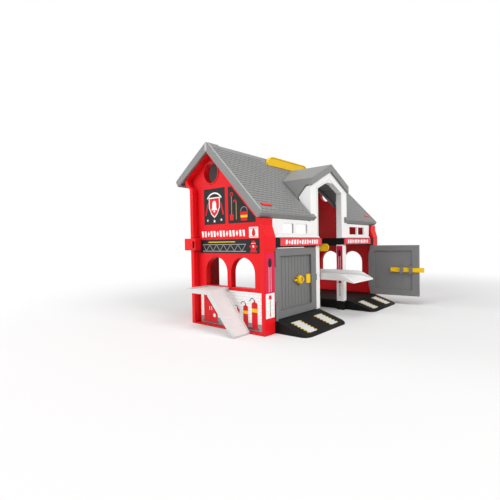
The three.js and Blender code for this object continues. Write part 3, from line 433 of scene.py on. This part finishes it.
# Roof slopes and what stands on them
RIDGE_Y = 142
RIDGE_Z = 370
EAVE_Z = 222
BACK_Y = 244
BACK_Z = 302
ROOF_HALF = 233.3
DORMER_HALF = 79.5
DORMER_CORNER_Y = 78
DORMER_TIP_Y = 119.5
DORMER_GAP = 0.4
HANDLE_HALF = 79.3
HANDLE_FRONT_Y = 120.2
HANDLE_BACK_Y = 163.8
CAP_INNER = 207.8
CAP_REACH = 9.2
PEG_LOW = 193.2
PEG_HIGH = 221.8
PEG_FRONT_Y = 8.4
PEG_BACK_Y = 14.8
PEG_MARGIN = 1
SEAT = 0.2

# Shingles: thin wedges in rows
SHINGLE_LONG = 12.4
SHINGLE_LEAST = 1.5
SHINGLE_GAP = 0.7
SHINGLE_LIFT = 0.55
SHINGLE_EDGE = 0.06
ROW_DEEP = 7.6
ROW_GAP = 0.15
ROW_START = 3.2
ROW_MARGIN = 8


def slope(front):
    """Foot of a roof slope, its length, its upward direction as (y, z), and its normal."""
    foot = (EAVE_Y, EAVE_Z) if front else (BACK_Y, BACK_Z)
    run, climb = RIDGE_Y - foot[0], RIDGE_Z - foot[1]
    length = math.hypot(run, climb)
    up = (run / length, climb / length)
    normal = Vector((0, -up[1] if front else up[1], abs(up[0])))
    return foot, length, up, normal


def keep_side(points, keep):
    """The part of a convex outline where keep(point) is not negative."""
    result = []
    for p, q in zip(points, points[1:] + points[:1]):
        kp, kq = keep(p), keep(q)
        if kp >= 0:
            result.append(p)
        if kp * kq < 0:
            t = kp / (kp - kq)
            result.append((p[0] + (q[0] - p[0]) * t, p[1] + (q[1] - p[1]) * t))
    return result


def middle_of(points):
    return (sum(p[0] for p in points) / len(points), sum(p[1] for p in points) / len(points))


def clear_of_fittings(points, front):
    """Cuts a shingle (x, y) back from dormer, handle and ridge caps; None where nothing is left."""
    mid_x, mid_y = middle_of(points)
    side = 1 if mid_x >= 0 else -1
    if front and mid_y < DORMER_CORNER_Y:
        points = keep_side(points, lambda p: side * p[0] - DORMER_HALF - DORMER_GAP)
    elif front and mid_y < DORMER_TIP_Y:
        slant = DORMER_HALF / (DORMER_TIP_Y - DORMER_CORNER_Y)
        points = keep_side(points, lambda p: side * p[0] - DORMER_GAP - slant * (DORMER_TIP_Y - p[1]))
    if points and min(abs(p[0]) for p in points) < HANDLE_HALF:
        if front:
            points = keep_side(points, lambda p: HANDLE_FRONT_Y - p[1])
        else:
            points = keep_side(points, lambda p: p[1] - HANDLE_BACK_Y)
    if points and max(abs(p[0]) for p in points) > CAP_INNER:
        points = keep_side(points, lambda p: abs(p[1] - RIDGE_Y) - CAP_REACH)
    return points if len(points) > 2 else None


def over_peg(points):
    """Whether a shingle lies over a slot for a wall peg."""
    def inside(x, y, margin):
        return (PEG_LOW < abs(x) < PEG_HIGH
                and PEG_FRONT_Y - margin < y < PEG_BACK_Y + margin)

    return any(inside(x, y, 0) for x, y in points) or inside(*middle_of(points), PEG_MARGIN)


def row_outlines(row, low_y, high_y, front):
    """Outlines (x, y) of the shingles in one row; every other row is shifted by half a shingle."""
    offset = SHINGLE_LONG / 2 if row % 2 else 0
    outlines = []
    for i in range(int(2 * ROOF_HALF / SHINGLE_LONG) + 2):
        start = -ROOF_HALF + i * SHINGLE_LONG - offset
        x0 = max(start, -ROOF_HALF)
        x1 = min(start + SHINGLE_LONG - SHINGLE_GAP, ROOF_HALF)
        if x1 - x0 < SHINGLE_LEAST:
            continue
        outline = clear_of_fittings(rect(x0, x1, low_y, high_y), front)
        if outline is None or (front and over_peg(outline)):
            continue
        outlines.append(outline)
    return outlines


def shingles(name, front):
    foot, length, up, normal = slope(front)
    mesh = bmesh.new()
    for row in range(int((length - ROW_MARGIN) / ROW_DEEP)):
        low = ROW_START + row * ROW_DEEP
        high = low + ROW_DEEP - ROW_GAP
        y0, y1 = foot[0] + low * up[0], foot[0] + high * up[0]
        for outline in row_outlines(row, y0, y1, front):
            bottom = []
            top = []
            for x, y in outline:
                lift = SHINGLE_LIFT * (1 - (y - y0) / (y1 - y0)) + SHINGLE_EDGE
                base = Vector((x, y, foot[1] + (y - foot[0]) / up[0] * up[1]))
                bottom.append(mesh.verts.new(at(*(base - normal * SEAT))))
                top.append(mesh.verts.new(at(*(base + normal * lift))))
            close_plate(mesh, bottom, top)
    add_piece(name, mesh, GREY)


for is_front, label in SLOPES:
    shingles("shingles_" + label, is_front)


# Trim on the roof, and pale strips along its raised edges as a painted highlight
def roof_plane(x, front):
    foot, _, up, normal = slope(front)
    return Plane((x, *foot), AXIS_X, (0, *up), normal)


PEG_TIP_HALF = 13.5
PEG_TIP_INSET = 0.6
PEG_TIP_DEEP = 5.6
PEG_TIP_TALL = 1.5


def peg_tips():
    """Ends of the wall pegs in their slots near the eave."""
    _, _, up, _ = slope(True)
    low = (PEG_FRONT_Y - EAVE_Y + PEG_TIP_INSET) / up[0]
    tip = bar(0, PEG_TIP_HALF, low, low + PEG_TIP_DEEP)
    for side, label in SIDES:
        face = roof_plane(side * (PEG_LOW + PEG_HIGH) / 2, True)
        plates("peg_tip_" + label, RED, face, [tip], thick=PEG_TIP_TALL)


LIP_X = 235.2
LIP_RISE = 0.84
LIP_HALF = 1.7
LIP_START = 6
LIP_END = 1.6
LIP_THICK = 0.3


def lip_highlight_strips():
    """Pale strips on the raised edges at both ends of each slope: a painted highlight where the rounded
    lip catches light.
    """
    for front, slope_label in SLOPES:
        _, length, _, _ = slope(front)
        strip = bar(0, LIP_HALF, LIP_START, length - LIP_END)
        for side, end_label in SIDES:
            face = roof_plane(side * LIP_X, front)
            face.origin += face.normal * LIP_RISE
            plates("edge_" + slope_label + "_" + end_label, PALE_GREY, face, [strip], thick=LIP_THICK)


# Dormer opening: straight jambs under a pointed top
FACADE_Y = 1.5
JAMB_DEPTH = 14
DOOR_HALF = 51
DOOR_SHOULDER = 287
DOOR_APEX = 311
CROWN_RADIUS = 55
CROWN_STEPS = 20
CROWN_SET_BACK = 0.06


def door_crown():
    """Fills the sharp apex of the dormer opening to the round crown of the moulding."""
    fall = (DOOR_APEX - DOOR_SHOULDER) / DOOR_HALF
    tilt = math.degrees(math.atan(fall))
    centre_z = DOOR_APEX - CROWN_RADIUS * math.hypot(1, fall)
    crown = arc(0, centre_z, CROWN_RADIUS, 90 + tilt, 90 - tilt, CROWN_STEPS)
    end = crown[-1][0]
    shoulder = DOOR_APEX - end * fall + SEAT
    rim = [(end, shoulder), (0, DOOR_APEX + SEAT), (-end, shoulder)]
    back = Plane((0, FACADE_Y + JAMB_DEPTH - SEAT, 0), AXIS_X, AXIS_Z, FORWARD)
    plates("door_crown", WHITE, back, [crown + rim], thick=JAMB_DEPTH - SEAT - CROWN_SET_BACK)


# Heights of the tongue count from the ridge
ROOF_END = 240
TONGUE_HALF = 3.3
TONGUE_FOOT = -17
TONGUE_SHOULDER = -1.8
TONGUE_TIP = 1.4


def apex_caps():
    """Pale tongue that closes the two rake boards at each roof end."""
    tongue = both_halves(RIDGE_Y, [
        (TONGUE_HALF, RIDGE_Z + TONGUE_FOOT),
        (TONGUE_HALF, RIDGE_Z + TONGUE_SHOULDER),
        (0, RIDGE_Z + TONGUE_TIP),
    ])
    for side, label in SIDES:
        end = Plane((side * ROOF_END, 0, 0), AXIS_Y, AXIS_Z, (side, 0, 0))
        plates("apex_cap_" + label, PALE_GREY, end, [tongue])


# Recessed panel of each gable wall, with its round window
PANEL_X = 223
ROUND_Y = 148
ROUND_Z = 313.3
RIM_RADIUS = 21.1
RIM_WIDE = 3.4
RIM_RISE = 1.3


def window_rims():
    for side, label in SIDES:
        outside = Plane((side * PANEL_X, 0, 0), AXIS_Y, AXIS_Z, (side, 0, 0))
        bead("window_rim_" + label, RED, outside, (ROUND_Y, ROUND_Z), RIM_RADIUS, RIM_WIDE, RIM_RISE)


peg_tips()
lip_highlight_strips()
door_crown()
apex_caps()
window_rims()

# Stickers on the recessed panel of the left gable; a runs to the back, b up
DOT_SIDES = 16
gable = Plane((-PANEL_X, 0, 0), AXIS_Y, AXIS_Z, (-1, 0, 0))


def on_gable(name, material, outlines, level=0):
    plates("gable_" + name, material, gable, outlines, level)


BADGE_PANEL = (107, 171.6, 207, 280)
BADGE_MID = 139.3
BADGE_MIDDLE_Z = 243
SHIELD = [(17, 262), (17, 241), (9, 227), (0, 220)]
SHIELD_FIELD = (0.86, 0.88)
HALO_RADIUS = 27.5
HALO_WIDE = 3
HALO_ANGLES = (38, 142)
BADGE_BAR = ((27, 226), (20, 250))
BADGE_BAR_WIDE = 3.4
BELL_LIP = (9, 236)
BELL_WAIST = (6, 241)
BELL_CROWN = (248, 7)
BELL_STEPS = 9
CLAPPER = (233.4, 2.2)
SIDE_STAR = (21, 215.5, 3.4)
MIDDLE_STAR = (213.5, 3.8)


def bell():
    half_wide, waist_z = BELL_WAIST
    crown_z, crown_tall = BELL_CROWN
    outline = [(BADGE_MID - BELL_LIP[0], BELL_LIP[1]), (BADGE_MID - half_wide, waist_z)]
    for i in range(BELL_STEPS + 1):
        turn = math.pi * (1 - i / BELL_STEPS)
        outline.append((BADGE_MID + half_wide * math.cos(turn), crown_z + crown_tall * math.sin(turn)))
    outline += [(BADGE_MID + half_wide, waist_z), (BADGE_MID + BELL_LIP[0], BELL_LIP[1])]
    return outline


def badge_stickers():
    """A bell on a shield between two bars, with stars below."""
    on_gable("badge_back", INK_BLACK, [rect(*BADGE_PANEL)])
    shield = both_halves(BADGE_MID, SHIELD)
    halo = arc_band(BADGE_MID, BADGE_MIDDLE_Z, HALO_RADIUS, HALO_WIDE, *HALO_ANGLES)
    on_gable("badge_rim", INK_WHITE, [shield, halo], level=1)
    share_a, share_b = SHIELD_FIELD
    field = [
        (BADGE_MID + (a - BADGE_MID) * share_a, BADGE_MIDDLE_Z + (b - BADGE_MIDDLE_Z) * share_b)
        for a, b in shield
    ]
    (foot_a, foot_b), (head_a, head_b) = BADGE_BAR
    bars = [
        stroke(BADGE_MID + side * foot_a, foot_b, BADGE_MID + side * head_a, head_b, BADGE_BAR_WIDE)
        for side in (-1, 1)
    ]
    on_gable("badge_field", INK_RED, [field] + bars, level=2)
    star_reach, star_z, star_radius = SIDE_STAR
    on_gable("badge_bell", INK_WHITE, [
        bell(),
        disc(BADGE_MID, *CLAPPER, DOT_SIDES),
        star(BADGE_MID - star_reach, star_z, star_radius),
        star(BADGE_MID, *MIDDLE_STAR),
        star(BADGE_MID + star_reach, star_z, star_radius),
    ], level=3)


# Tool panel under the rake
TOOLS_PANEL = [(24, 207), (98, 207), (98, 279), (88, 279), (24, 216)]
SPADE_HANDLE = (88, 224, 88, 260)
HOOK_HANDLE = (75, 214, 75, 248)
HANDLE_WIDE = 2.2
SPADE_BLADE = [(83, 213), (93, 213), (93.5, 224), (82.5, 224)]
SPADE_GRIP = (88, 263.5, 3.4, 1.8, 0, 340, 16)
HOOK = (78.5, 248, 3.5, 2.4, 0, 180, 10)
BUCKET = [(46, 211), (62, 211), (64.5, 228), (43.5, 228)]
BUCKET_BAND = [(45, 217), (63, 217), (63.6, 221.5), (44.4, 221.5)]
BUCKET_BAIL = (54, 228.3, 9, 1.3, 4, 176)


def tool_stickers():
    """Spade, hook and bucket."""
    on_gable("tools_back", INK_BLACK, [TOOLS_PANEL])
    handles = [stroke(*SPADE_HANDLE, HANDLE_WIDE), stroke(*HOOK_HANDLE, HANDLE_WIDE)]
    on_gable("tools_handles", INK_TAN, handles, level=1)
    heads = [SPADE_BLADE, arc_band(*HOOK), BUCKET, arc_band(*SPADE_GRIP)]
    on_gable("tools_heads", INK_RED, heads, level=1)
    on_gable("tools_band", INK_YELLOW, [BUCKET_BAND], level=2)
    on_gable("tools_bail", INK_GREY, [arc_band(*BUCKET_BAIL)], level=1)


# Row of white marks where the wall carries its title, and a plaque with a drop
GABLE_MARKS = 14
GABLE_MARK_START = 52
GABLE_MARK_PITCH = 9.4
GABLE_MARK_WIDE = 5.6
GABLE_MARK_LEVELS = (181.5, 193.5)
GABLE_DIAMOND_EVERY = 3
PLAQUE = (17.7, 41.5, 178, 198)
PLAQUE_ROUND = 1
PLAQUE_LINES = ((20, 39.2, 180, 180.9), (20, 39.2, 195.1, 196))
DROP_PLACE = (29.6, 185.6)
DROP_RADIUS = 4.6
DROP_SIDES = 24
DROP_WAIST = 187
DROP_STRETCH = 2.6


def title_stickers():
    starts = [GABLE_MARK_START + i * GABLE_MARK_PITCH for i in range(GABLE_MARKS)]
    marks = title_marks(starts, GABLE_MARK_WIDE, *GABLE_MARK_LEVELS, GABLE_DIAMOND_EVERY)
    on_gable("marks", INK_WHITE, marks)
    on_gable("plaque", INK_WHITE, [soft_rect(*PLAQUE, PLAQUE_ROUND)])
    drop = [
        (a, b if b < DROP_WAIST else DROP_WAIST + (b - DROP_WAIST) * DROP_STRETCH)
        for a, b in disc(*DROP_PLACE, DROP_RADIUS, DROP_SIDES)
    ]
    on_gable("plaque_drop", INK_RED, [drop] + [rect(*line) for line in PLAQUE_LINES], level=1)


# Long black panel
BOOM_PANEL = (14.6, 187, 148.5, 176)
BOOM_CHORDS = ((50, 178, 151.5, 153.1), (50, 178, 165, 166.6))
BOOM_BAYS = 12
BAY_START = 51
BAY_WIDE = 10.5
BRACE_LEVELS = (152.6, 165.6)
BRACE_WIDE = 1.3
BOOM_POLE = (80, 160, 170, 171.6)
HYDRANT_MID = 30.5
HYDRANT = [
    (9, 150.5), (9, 153.4), (6.5, 153.4), (6.5, 159.6), (10, 159.6),
    (10, 163.6), (6.5, 163.6), (6, 168), (3, 172), (0, 173),
]
HYDRANT_VALVE = (161.6, 2.2)
HYDRANT_BAND = (5.5, 167, 167.8)


def boom_stickers():
    """A lattice boom, a pole and a hydrant."""
    on_gable("boom_back", INK_BLACK, [rect(*BOOM_PANEL)])
    boom = [rect(*chord) for chord in BOOM_CHORDS]
    for i in range(BOOM_BAYS):
        start = BAY_START + i * BAY_WIDE
        foot, head = BRACE_LEVELS if i % 2 else BRACE_LEVELS[::-1]
        boom.append(stroke(start, foot, start + BAY_WIDE, head, BRACE_WIDE))
    on_gable("boom", INK_GREY, boom, level=1)
    on_gable("boom_pole", INK_YELLOW, [rect(*BOOM_POLE)], level=1)
    on_gable("boom_hydrant", INK_RED, [both_halves(HYDRANT_MID, HYDRANT)], level=1)
    cap = [disc(HYDRANT_MID, *HYDRANT_VALVE, DOT_SIDES), bar(HYDRANT_MID, *HYDRANT_BAND)]
    on_gable("boom_hydrant_cap", INK_WHITE, cap, level=2)


# Store wall below the arches
STORE_LEFT = 10
STORE_RIGHT = 187
STORE_FOOT = 2.5
STORE_HEAD = 75
STORE_FLOOR = 17
GROUT = 0.5
TILE_FOOT = 20
TILE_TALL = 6.5
TILE_ROWS = 8
TILE_HEAD = 71
TILE_WIDE = 12
TILE_START = 14
TILE_COUNT = 15
TILE_END = 186
STORE_SHADOWS = ((132, 181, 4, 9), (20, 92, 5, 9))
LOCKER = (135, 178, 6, 62)
LOCKER_ROUND = 1.2
LOCKER_SPLIT = (156.1, 156.9, 8, 60)
LOUVRE_STARTS = (139, 161.5)
LOUVRE_WIDE = 12
LOUVRE_LEVELS = (50, 53, 56)
LOUVRE_TALL = 1.2
LOCKER_HANDLES = ((152.5, 154.1, 30, 38), (158.9, 160.5, 30, 38))
LOCKER_DIAL = (145, 20, 4)
LOCKER_DIAL_SIDES = 20

# Each canister: middle, width, height, and radius and width of its hose
CANISTERS = ((30, 15, 50, 6, 1.5), (54, 13, 42, 6, 1.5), (76, 11, 34, 5, 1.4))
CANISTER_FOOT = 7
CANISTER_ROUND = 0.3
CANISTER_BAND = (0.62, 0.76)
VALVE_HALF = 1.6
VALVE_LOW = -1
VALVE_HIGH = 4
HOSE_RISE = 1


def store_grout():
    levels = [TILE_FOOT + TILE_TALL * k for k in range(TILE_ROWS)] + [TILE_HEAD]
    grout = [rect(STORE_LEFT + GROUT, STORE_RIGHT - GROUT, b, b + GROUT) for b in levels]
    for row, (low, high) in enumerate(zip(levels, levels[1:])):
        shift = TILE_WIDE / 2 if row % 2 else 0
        for i in range(TILE_COUNT):
            a = TILE_START + i * TILE_WIDE + shift
            if a < TILE_END:
                grout.append(rect(a, a + GROUT, low, high))
    return grout


def store_stickers():
    """Tiles, floor, locker and canisters."""
    on_gable("store_tiles", INK_WHITE, [rect(STORE_LEFT, STORE_RIGHT, STORE_FOOT, STORE_HEAD)])
    on_gable("store_grout", INK_PALE, store_grout(), level=1)
    floor = rect(STORE_LEFT, STORE_RIGHT, STORE_FOOT, STORE_FLOOR)
    on_gable("store_floor", INK_GREY, [floor], level=1)
    on_gable("store_shadow", INK_DARK_GREY, [rect(*shadow) for shadow in STORE_SHADOWS], level=2)
    on_gable("store_locker", INK_RED, [soft_rect(*LOCKER, LOCKER_ROUND)], level=3)
    louvres = [
        rect(a, a + LOUVRE_WIDE, b, b + LOUVRE_TALL) for a in LOUVRE_STARTS for b in LOUVRE_LEVELS
    ]
    on_gable("store_locker_doors", INK_DEEP_RED, [rect(*LOCKER_SPLIT)] + louvres, level=4)
    handles = [rect(*handle) for handle in LOCKER_HANDLES]
    dial = disc(*LOCKER_DIAL, LOCKER_DIAL_SIDES)
    on_gable("store_locker_handles", INK_WHITE, handles + [dial], level=4)
    cans, bands, hoses = [], [], []
    for middle, wide, tall, hose_radius, hose_wide in CANISTERS:
        half = wide / 2
        top = CANISTER_FOOT + tall
        cans.append(soft_rect(middle - half, middle + half, CANISTER_FOOT, top, wide * CANISTER_ROUND))
        cans.append(bar(middle, VALVE_HALF, top + VALVE_LOW, top + VALVE_HIGH))
        band_low, band_high = (CANISTER_FOOT + tall * share for share in CANISTER_BAND)
        bands.append(bar(middle, half, band_low, band_high))
        hoses.append(arc_band(middle + hose_radius, top + HOSE_RISE, hose_radius, hose_wide, 0, 180))
    on_gable("store_canisters", INK_RED, cans, level=3)
    on_gable("store_bands", INK_YELLOW, bands, level=4)
    on_gable("store_hoses", INK_DARK_GREY, hoses, level=4)


badge_stickers()
tool_stickers()
title_stickers()
boom_stickers()
store_stickers()

# Tall stickers on the columns and inside the posts
COLUMN_X = 221
COLUMN_Y = -6
COLUMN_LEAN = (0, -1, 152)
COLUMN_SHIFT = 1
COLUMN_STICKER = {"half": 11.6, "foot": 31, "split": 76, "head": 149}
POST_X = 51
POST_MIDDLE_Y = 7.5
POST_STICKER = {"half": 8.3, "foot": 24, "split": 84, "head": 158}

# Upper panel with a ladder and a lamp; heads, places and lamp sizes are shares of the panel
SPLIT_GAP = 0.4
LADDER_HEAD = 0.66
LADDER_RAIL = 2.6
LADDER_RAIL_HALF = 0.5
LADDER_FOOT = 3
RUNG_HALF = 2.1
RUNG_PITCH = 6
RUNG_THICK = 1
LAMP_PLACE = 0.76
LAMP_WIDE = 0.42
LAMP_TALL = 0.12
LAMP_SIDES = 24

# Tiles below
BRICK_TALL = 7
JOINT = 0.4

# Tool on the tiles, measured from its middle
SHAFT_HALF = 0.9
SHAFT_REACH = 12
SPIKE_HALF = 1
SPIKE_REACH = 20
TOOL_HEAD_LOW_HALF = 4.5
TOOL_HEAD_HIGH_HALF = 3
TOOL_HEAD_REACH = 19


def tall_sticker(name, plane, middle, half, foot, split, head):
    """A magenta panel with a ladder and a lamp above the split, tiles with a tool below it."""
    def put(part, material, outlines, level=0):
        plates(name + "_" + part, material, plane, outlines, level)

    tall = head - split
    put("pole_back", INK_MAGENTA, [bar(middle, half, split + SPLIT_GAP, head)])
    put("pole", INK_PALE, [
        bar(middle + place, LADDER_RAIL_HALF, split + LADDER_FOOT, split + tall * LADDER_HEAD)
        for place in (-LADDER_RAIL, LADDER_RAIL)
    ], level=1)
    rungs = []
    for k in range(1, int(tall * LADDER_HEAD / RUNG_PITCH)):
        low = split + k * RUNG_PITCH
        rungs.append(bar(middle, RUNG_HALF, low, low + RUNG_THICK))
    put("pole_steps", INK_DARK_GREY, rungs, level=1)
    lamp = disc(middle, split + tall * LAMP_PLACE, half * LAMP_WIDE, LAMP_SIDES, tall * LAMP_TALL)
    put("lamp", INK_BLACK, [lamp], level=1)

    put("tiles", INK_WHITE, [bar(middle, half, foot, split)])
    rows = int((split - foot) / BRICK_TALL)
    lines = [foot + BRICK_TALL * k for k in range(rows + 1)]
    grout = [bar(middle, half, line, line + JOINT) for line in lines[1:]]
    for k, line in enumerate(lines[:-1]):
        for shift in ((-0.5, 0.5) if k % 2 else (0,)):
            a = middle + shift * half
            grout.append(rect(a, a + JOINT, line + JOINT, line + BRICK_TALL))
    put("grout", INK_PALE, grout, level=1)

    tool_z = (foot + split) / 2
    neck = tool_z + SHAFT_REACH
    tip = tool_z + TOOL_HEAD_REACH
    put("tool_handle", INK_TAN, [bar(middle, SHAFT_HALF, tool_z - SHAFT_REACH, neck)], level=2)
    put("tool", INK_RED, [
        bar(middle, SPIKE_HALF, tool_z - SPIKE_REACH, tool_z - SHAFT_REACH),
        [
            (middle - TOOL_HEAD_LOW_HALF, neck), (middle + TOOL_HEAD_LOW_HALF, neck),
            (middle + TOOL_HEAD_HIGH_HALF, tip), (middle - TOOL_HEAD_HIGH_HALF, tip),
        ],
    ], level=2)


def tall_stickers():
    lean = Vector(COLUMN_LEAN).normalized()
    for side, label in SIDES:
        column = Plane((side * COLUMN_X, COLUMN_Y, 0), AXIS_X, lean, (0, -lean.z, lean.y))
        tall_sticker("column_" + label, column, -side * COLUMN_SHIFT, **COLUMN_STICKER)
        inner = Plane((side * POST_X, 0, 0), AXIS_Y, AXIS_Z, (-side, 0, 0))
        tall_sticker("post_" + label, inner, POST_MIDDLE_Y, **POST_STICKER)


tall_stickers()

# Marks on the strips over the gates
SIGN_Y = -8.2
SIGN_MARKS = 13
SIGN_MARK_START = 66
SIGN_MARK_PITCH = 8.6
SIGN_MARK_WIDE = 5.2
SIGN_MARK_LEVELS = (164.6, 173.4)
SIGN_DIAMOND_EVERY = 4


def sign_marks():
    face = Plane((0, SIGN_Y, 0), AXIS_X, AXIS_Z, FORWARD)
    starts = [SIGN_MARK_START + i * SIGN_MARK_PITCH for i in range(SIGN_MARKS)]
    for side, label in SIDES:
        if side < 0:
            places = [-start - SIGN_MARK_WIDE - MARK_LEAN for start in starts]
        else:
            places = starts
        marks = title_marks(places, SIGN_MARK_WIDE, *SIGN_MARK_LEVELS, SIGN_DIAMOND_EVERY)
        plates("sign_marks_" + label, INK_WHITE, face, marks)


sign_marks()

# Wheel tracks on the apron ramps
APRON_TOP = (-11, 22)
APRON_TOE = (-78, 1.6)
TRACK_MIDDLES = (-171, -97, 97, 171)
TRACK_HALF = 11
TRACK_RUN = (15, 59)
DOT_REACH = 12.4
DOT_HALF = 2.2
DOT_START = 15.5
DOT_PITCH = 7.6
DOT_LONG = 4
DOT_COUNT = 6


def apron_strips():
    run = APRON_TOP[0] - APRON_TOE[0]
    drop = APRON_TOP[1] - APRON_TOE[1]
    length = math.hypot(run, drop)
    down = Vector((0, -run / length, -drop / length))
    normal = Vector((0, -drop / length, run / length))
    apron = Plane((0, *APRON_TOP), AXIS_X, down, normal)
    bands, dots = [], []
    for middle in TRACK_MIDDLES:
        bands.append(bar(middle, TRACK_HALF, *TRACK_RUN))
        for edge in (-1, 1):
            for i in range(DOT_COUNT):
                start = DOT_START + i * DOT_PITCH
                dots.append(bar(middle + edge * DOT_REACH, DOT_HALF, start, start + DOT_LONG))
    plates("apron_bands", INK_PALE, apron, bands)
    plates("apron_dots", INK_YELLOW, apron, dots)


apron_strips()

# Floor and world: soft light on the object, plain white for the rays that seen_by names
WHITE_LIGHT = (1, 1, 1, 1)
FLOOR_SIDE = 60
FLOOR_COLOUR = (0.74, 0.74, 0.74, 1)
FLOOR_FADE = (0.42, 1.3)
BACKGROUND_STRENGTH = 1.0
SOFT_STRENGTH = 0.40


def seen_by(tree):
    """1 for camera, glossy and transmission rays, so that all of them see the white background."""
    path = tree.nodes.new("ShaderNodeLightPath")
    most = path.outputs["Is Camera Ray"]
    for ray in ("Is Glossy Ray", "Is Transmission Ray"):
        join = tree.nodes.new("ShaderNodeMath")
        join.operation = "MAXIMUM"
        tree.links.new(most, join.inputs[0])
        tree.links.new(path.outputs[ray], join.inputs[1])
        most = join.outputs["Value"]
    return most


def mix_shaders(tree, near, far, factor):
    mix = tree.nodes.new("ShaderNodeMixShader")
    tree.links.new(factor, mix.inputs["Fac"])
    tree.links.new(near, mix.inputs[1])
    tree.links.new(far, mix.inputs[2])
    return mix.outputs["Shader"]


def make_floor():
    """A pale floor that takes shadows near the object and fades to white further out."""
    bpy.ops.mesh.primitive_plane_add(size=FLOOR_SIDE, location=(0, 0, 0))
    floor = bpy.context.object
    floor.name = "floor"
    material = bpy.data.materials.new("pale_floor")
    material.use_nodes = True
    tree = material.node_tree
    tree.nodes.clear()
    out = tree.nodes.new("ShaderNodeOutputMaterial")
    near = tree.nodes.new("ShaderNodeBsdfDiffuse")
    near.inputs["Color"].default_value = FLOOR_COLOUR
    glow = tree.nodes.new("ShaderNodeEmission")
    glow.inputs["Color"].default_value = WHITE_LIGHT
    glow.inputs["Strength"].default_value = BACKGROUND_STRENGTH
    coords = tree.nodes.new("ShaderNodeTexCoord")
    distance = tree.nodes.new("ShaderNodeVectorMath")
    distance.operation = "LENGTH"
    tree.links.new(coords.outputs["Object"], distance.inputs[0])
    fade = tree.nodes.new("ShaderNodeMapRange")
    fade.interpolation_type = "SMOOTHSTEP"
    fade.inputs["From Min"].default_value, fade.inputs["From Max"].default_value = FLOOR_FADE
    tree.links.new(distance.outputs["Value"], fade.inputs["Value"])
    factor = tree.nodes.new("ShaderNodeMath")
    factor.operation = "MULTIPLY"
    tree.links.new(fade.outputs["Result"], factor.inputs[0])
    tree.links.new(seen_by(tree), factor.inputs[1])
    surface = mix_shaders(tree, near.outputs["BSDF"], glow.outputs["Emission"], factor.outputs["Value"])
    tree.links.new(surface, out.inputs["Surface"])
    floor.data.materials.append(material)


def background(tree, strength):
    node = tree.nodes.new("ShaderNodeBackground")
    node.inputs["Color"].default_value = WHITE_LIGHT
    node.inputs["Strength"].default_value = strength
    return node.outputs["Background"]


def make_world():
    world = bpy.data.worlds.new("studio")
    bpy.context.scene.world = world
    world.use_nodes = True
    tree = world.node_tree
    tree.nodes.clear()
    out = tree.nodes.new("ShaderNodeOutputWorld")
    soft = background(tree, SOFT_STRENGTH)
    white = background(tree, BACKGROUND_STRENGTH)
    tree.links.new(mix_shaders(tree, soft, white, seen_by(tree)), out.inputs["Surface"])


# Lamps: name, place, side of the square, power in watts, and whether glossy faces mirror it
LAMP_TARGET = (0, 0, 0.15)
LAMPS = (
    ("front_lamp", (-0.3, -2.4, 1.5), 1.1, 41, True),
    ("left_lamp", (-2.2, 0.9, 1.45), 1.1, 26, True),
    ("top_lamp", (-1.0, -0.3, 2.8), 1.5, 29, True),
    ("back_lamp", (-0.55, 2.3, 0.6), 1.0, 26, False),
)


def area_lamp(name, place, size, watts, mirrored):
    data = bpy.data.lights.new(name, "AREA")
    data.shape = "SQUARE"
    data.size = size
    data.energy = watts
    lamp = bpy.data.objects.new(name, data)
    bpy.context.scene.collection.objects.link(lamp)
    lamp.location = place
    lamp.visible_glossy = mirrored
    lamp.rotation_euler = (Vector(LAMP_TARGET) - Vector(place)).to_track_quat("-Z", "Y").to_euler()


make_floor()
make_world()
for lamp_row in LAMPS:
    area_lamp(*lamp_row)

# Camera at the photo's viewing angle; place in the house frame, angles in degrees
PHOTO_SIDE = 500
FOCAL_PIXELS = 349.3
CENTRE_SHIFT_PIXELS = 60
CAMERA_PLACE = (-691.8, -433.3, 168.2)
CAMERA_AZIMUTH = 54.49
CAMERA_DOWN = 1.29
CAMERA_ROLL = -0.77
SENSOR = 36
CLIP_START = 0.01
CLIP_END = 100


def make_camera():
    data = bpy.data.cameras.new("camera")
    camera = bpy.data.objects.new("camera", data)
    bpy.context.scene.collection.objects.link(camera)
    data.sensor_width = SENSOR
    data.lens = SENSOR * FOCAL_PIXELS / PHOTO_SIDE
    data.shift_x = -CENTRE_SHIFT_PIXELS / PHOTO_SIDE
    data.clip_start = CLIP_START
    data.clip_end = CLIP_END
    camera.location = at(*CAMERA_PLACE)
    turn = Matrix.Rotation(math.radians(-CAMERA_AZIMUTH), 4, "Z")
    tilt = Matrix.Rotation(math.radians(90 - CAMERA_DOWN), 4, "X")
    roll = Matrix.Rotation(math.radians(CAMERA_ROLL), 4, "Z")
    camera.rotation_euler = (turn @ tilt @ roll).to_euler()
    bpy.context.scene.camera = camera


make_camera()
bpy.context.scene.view_settings.view_transform = "Standard"
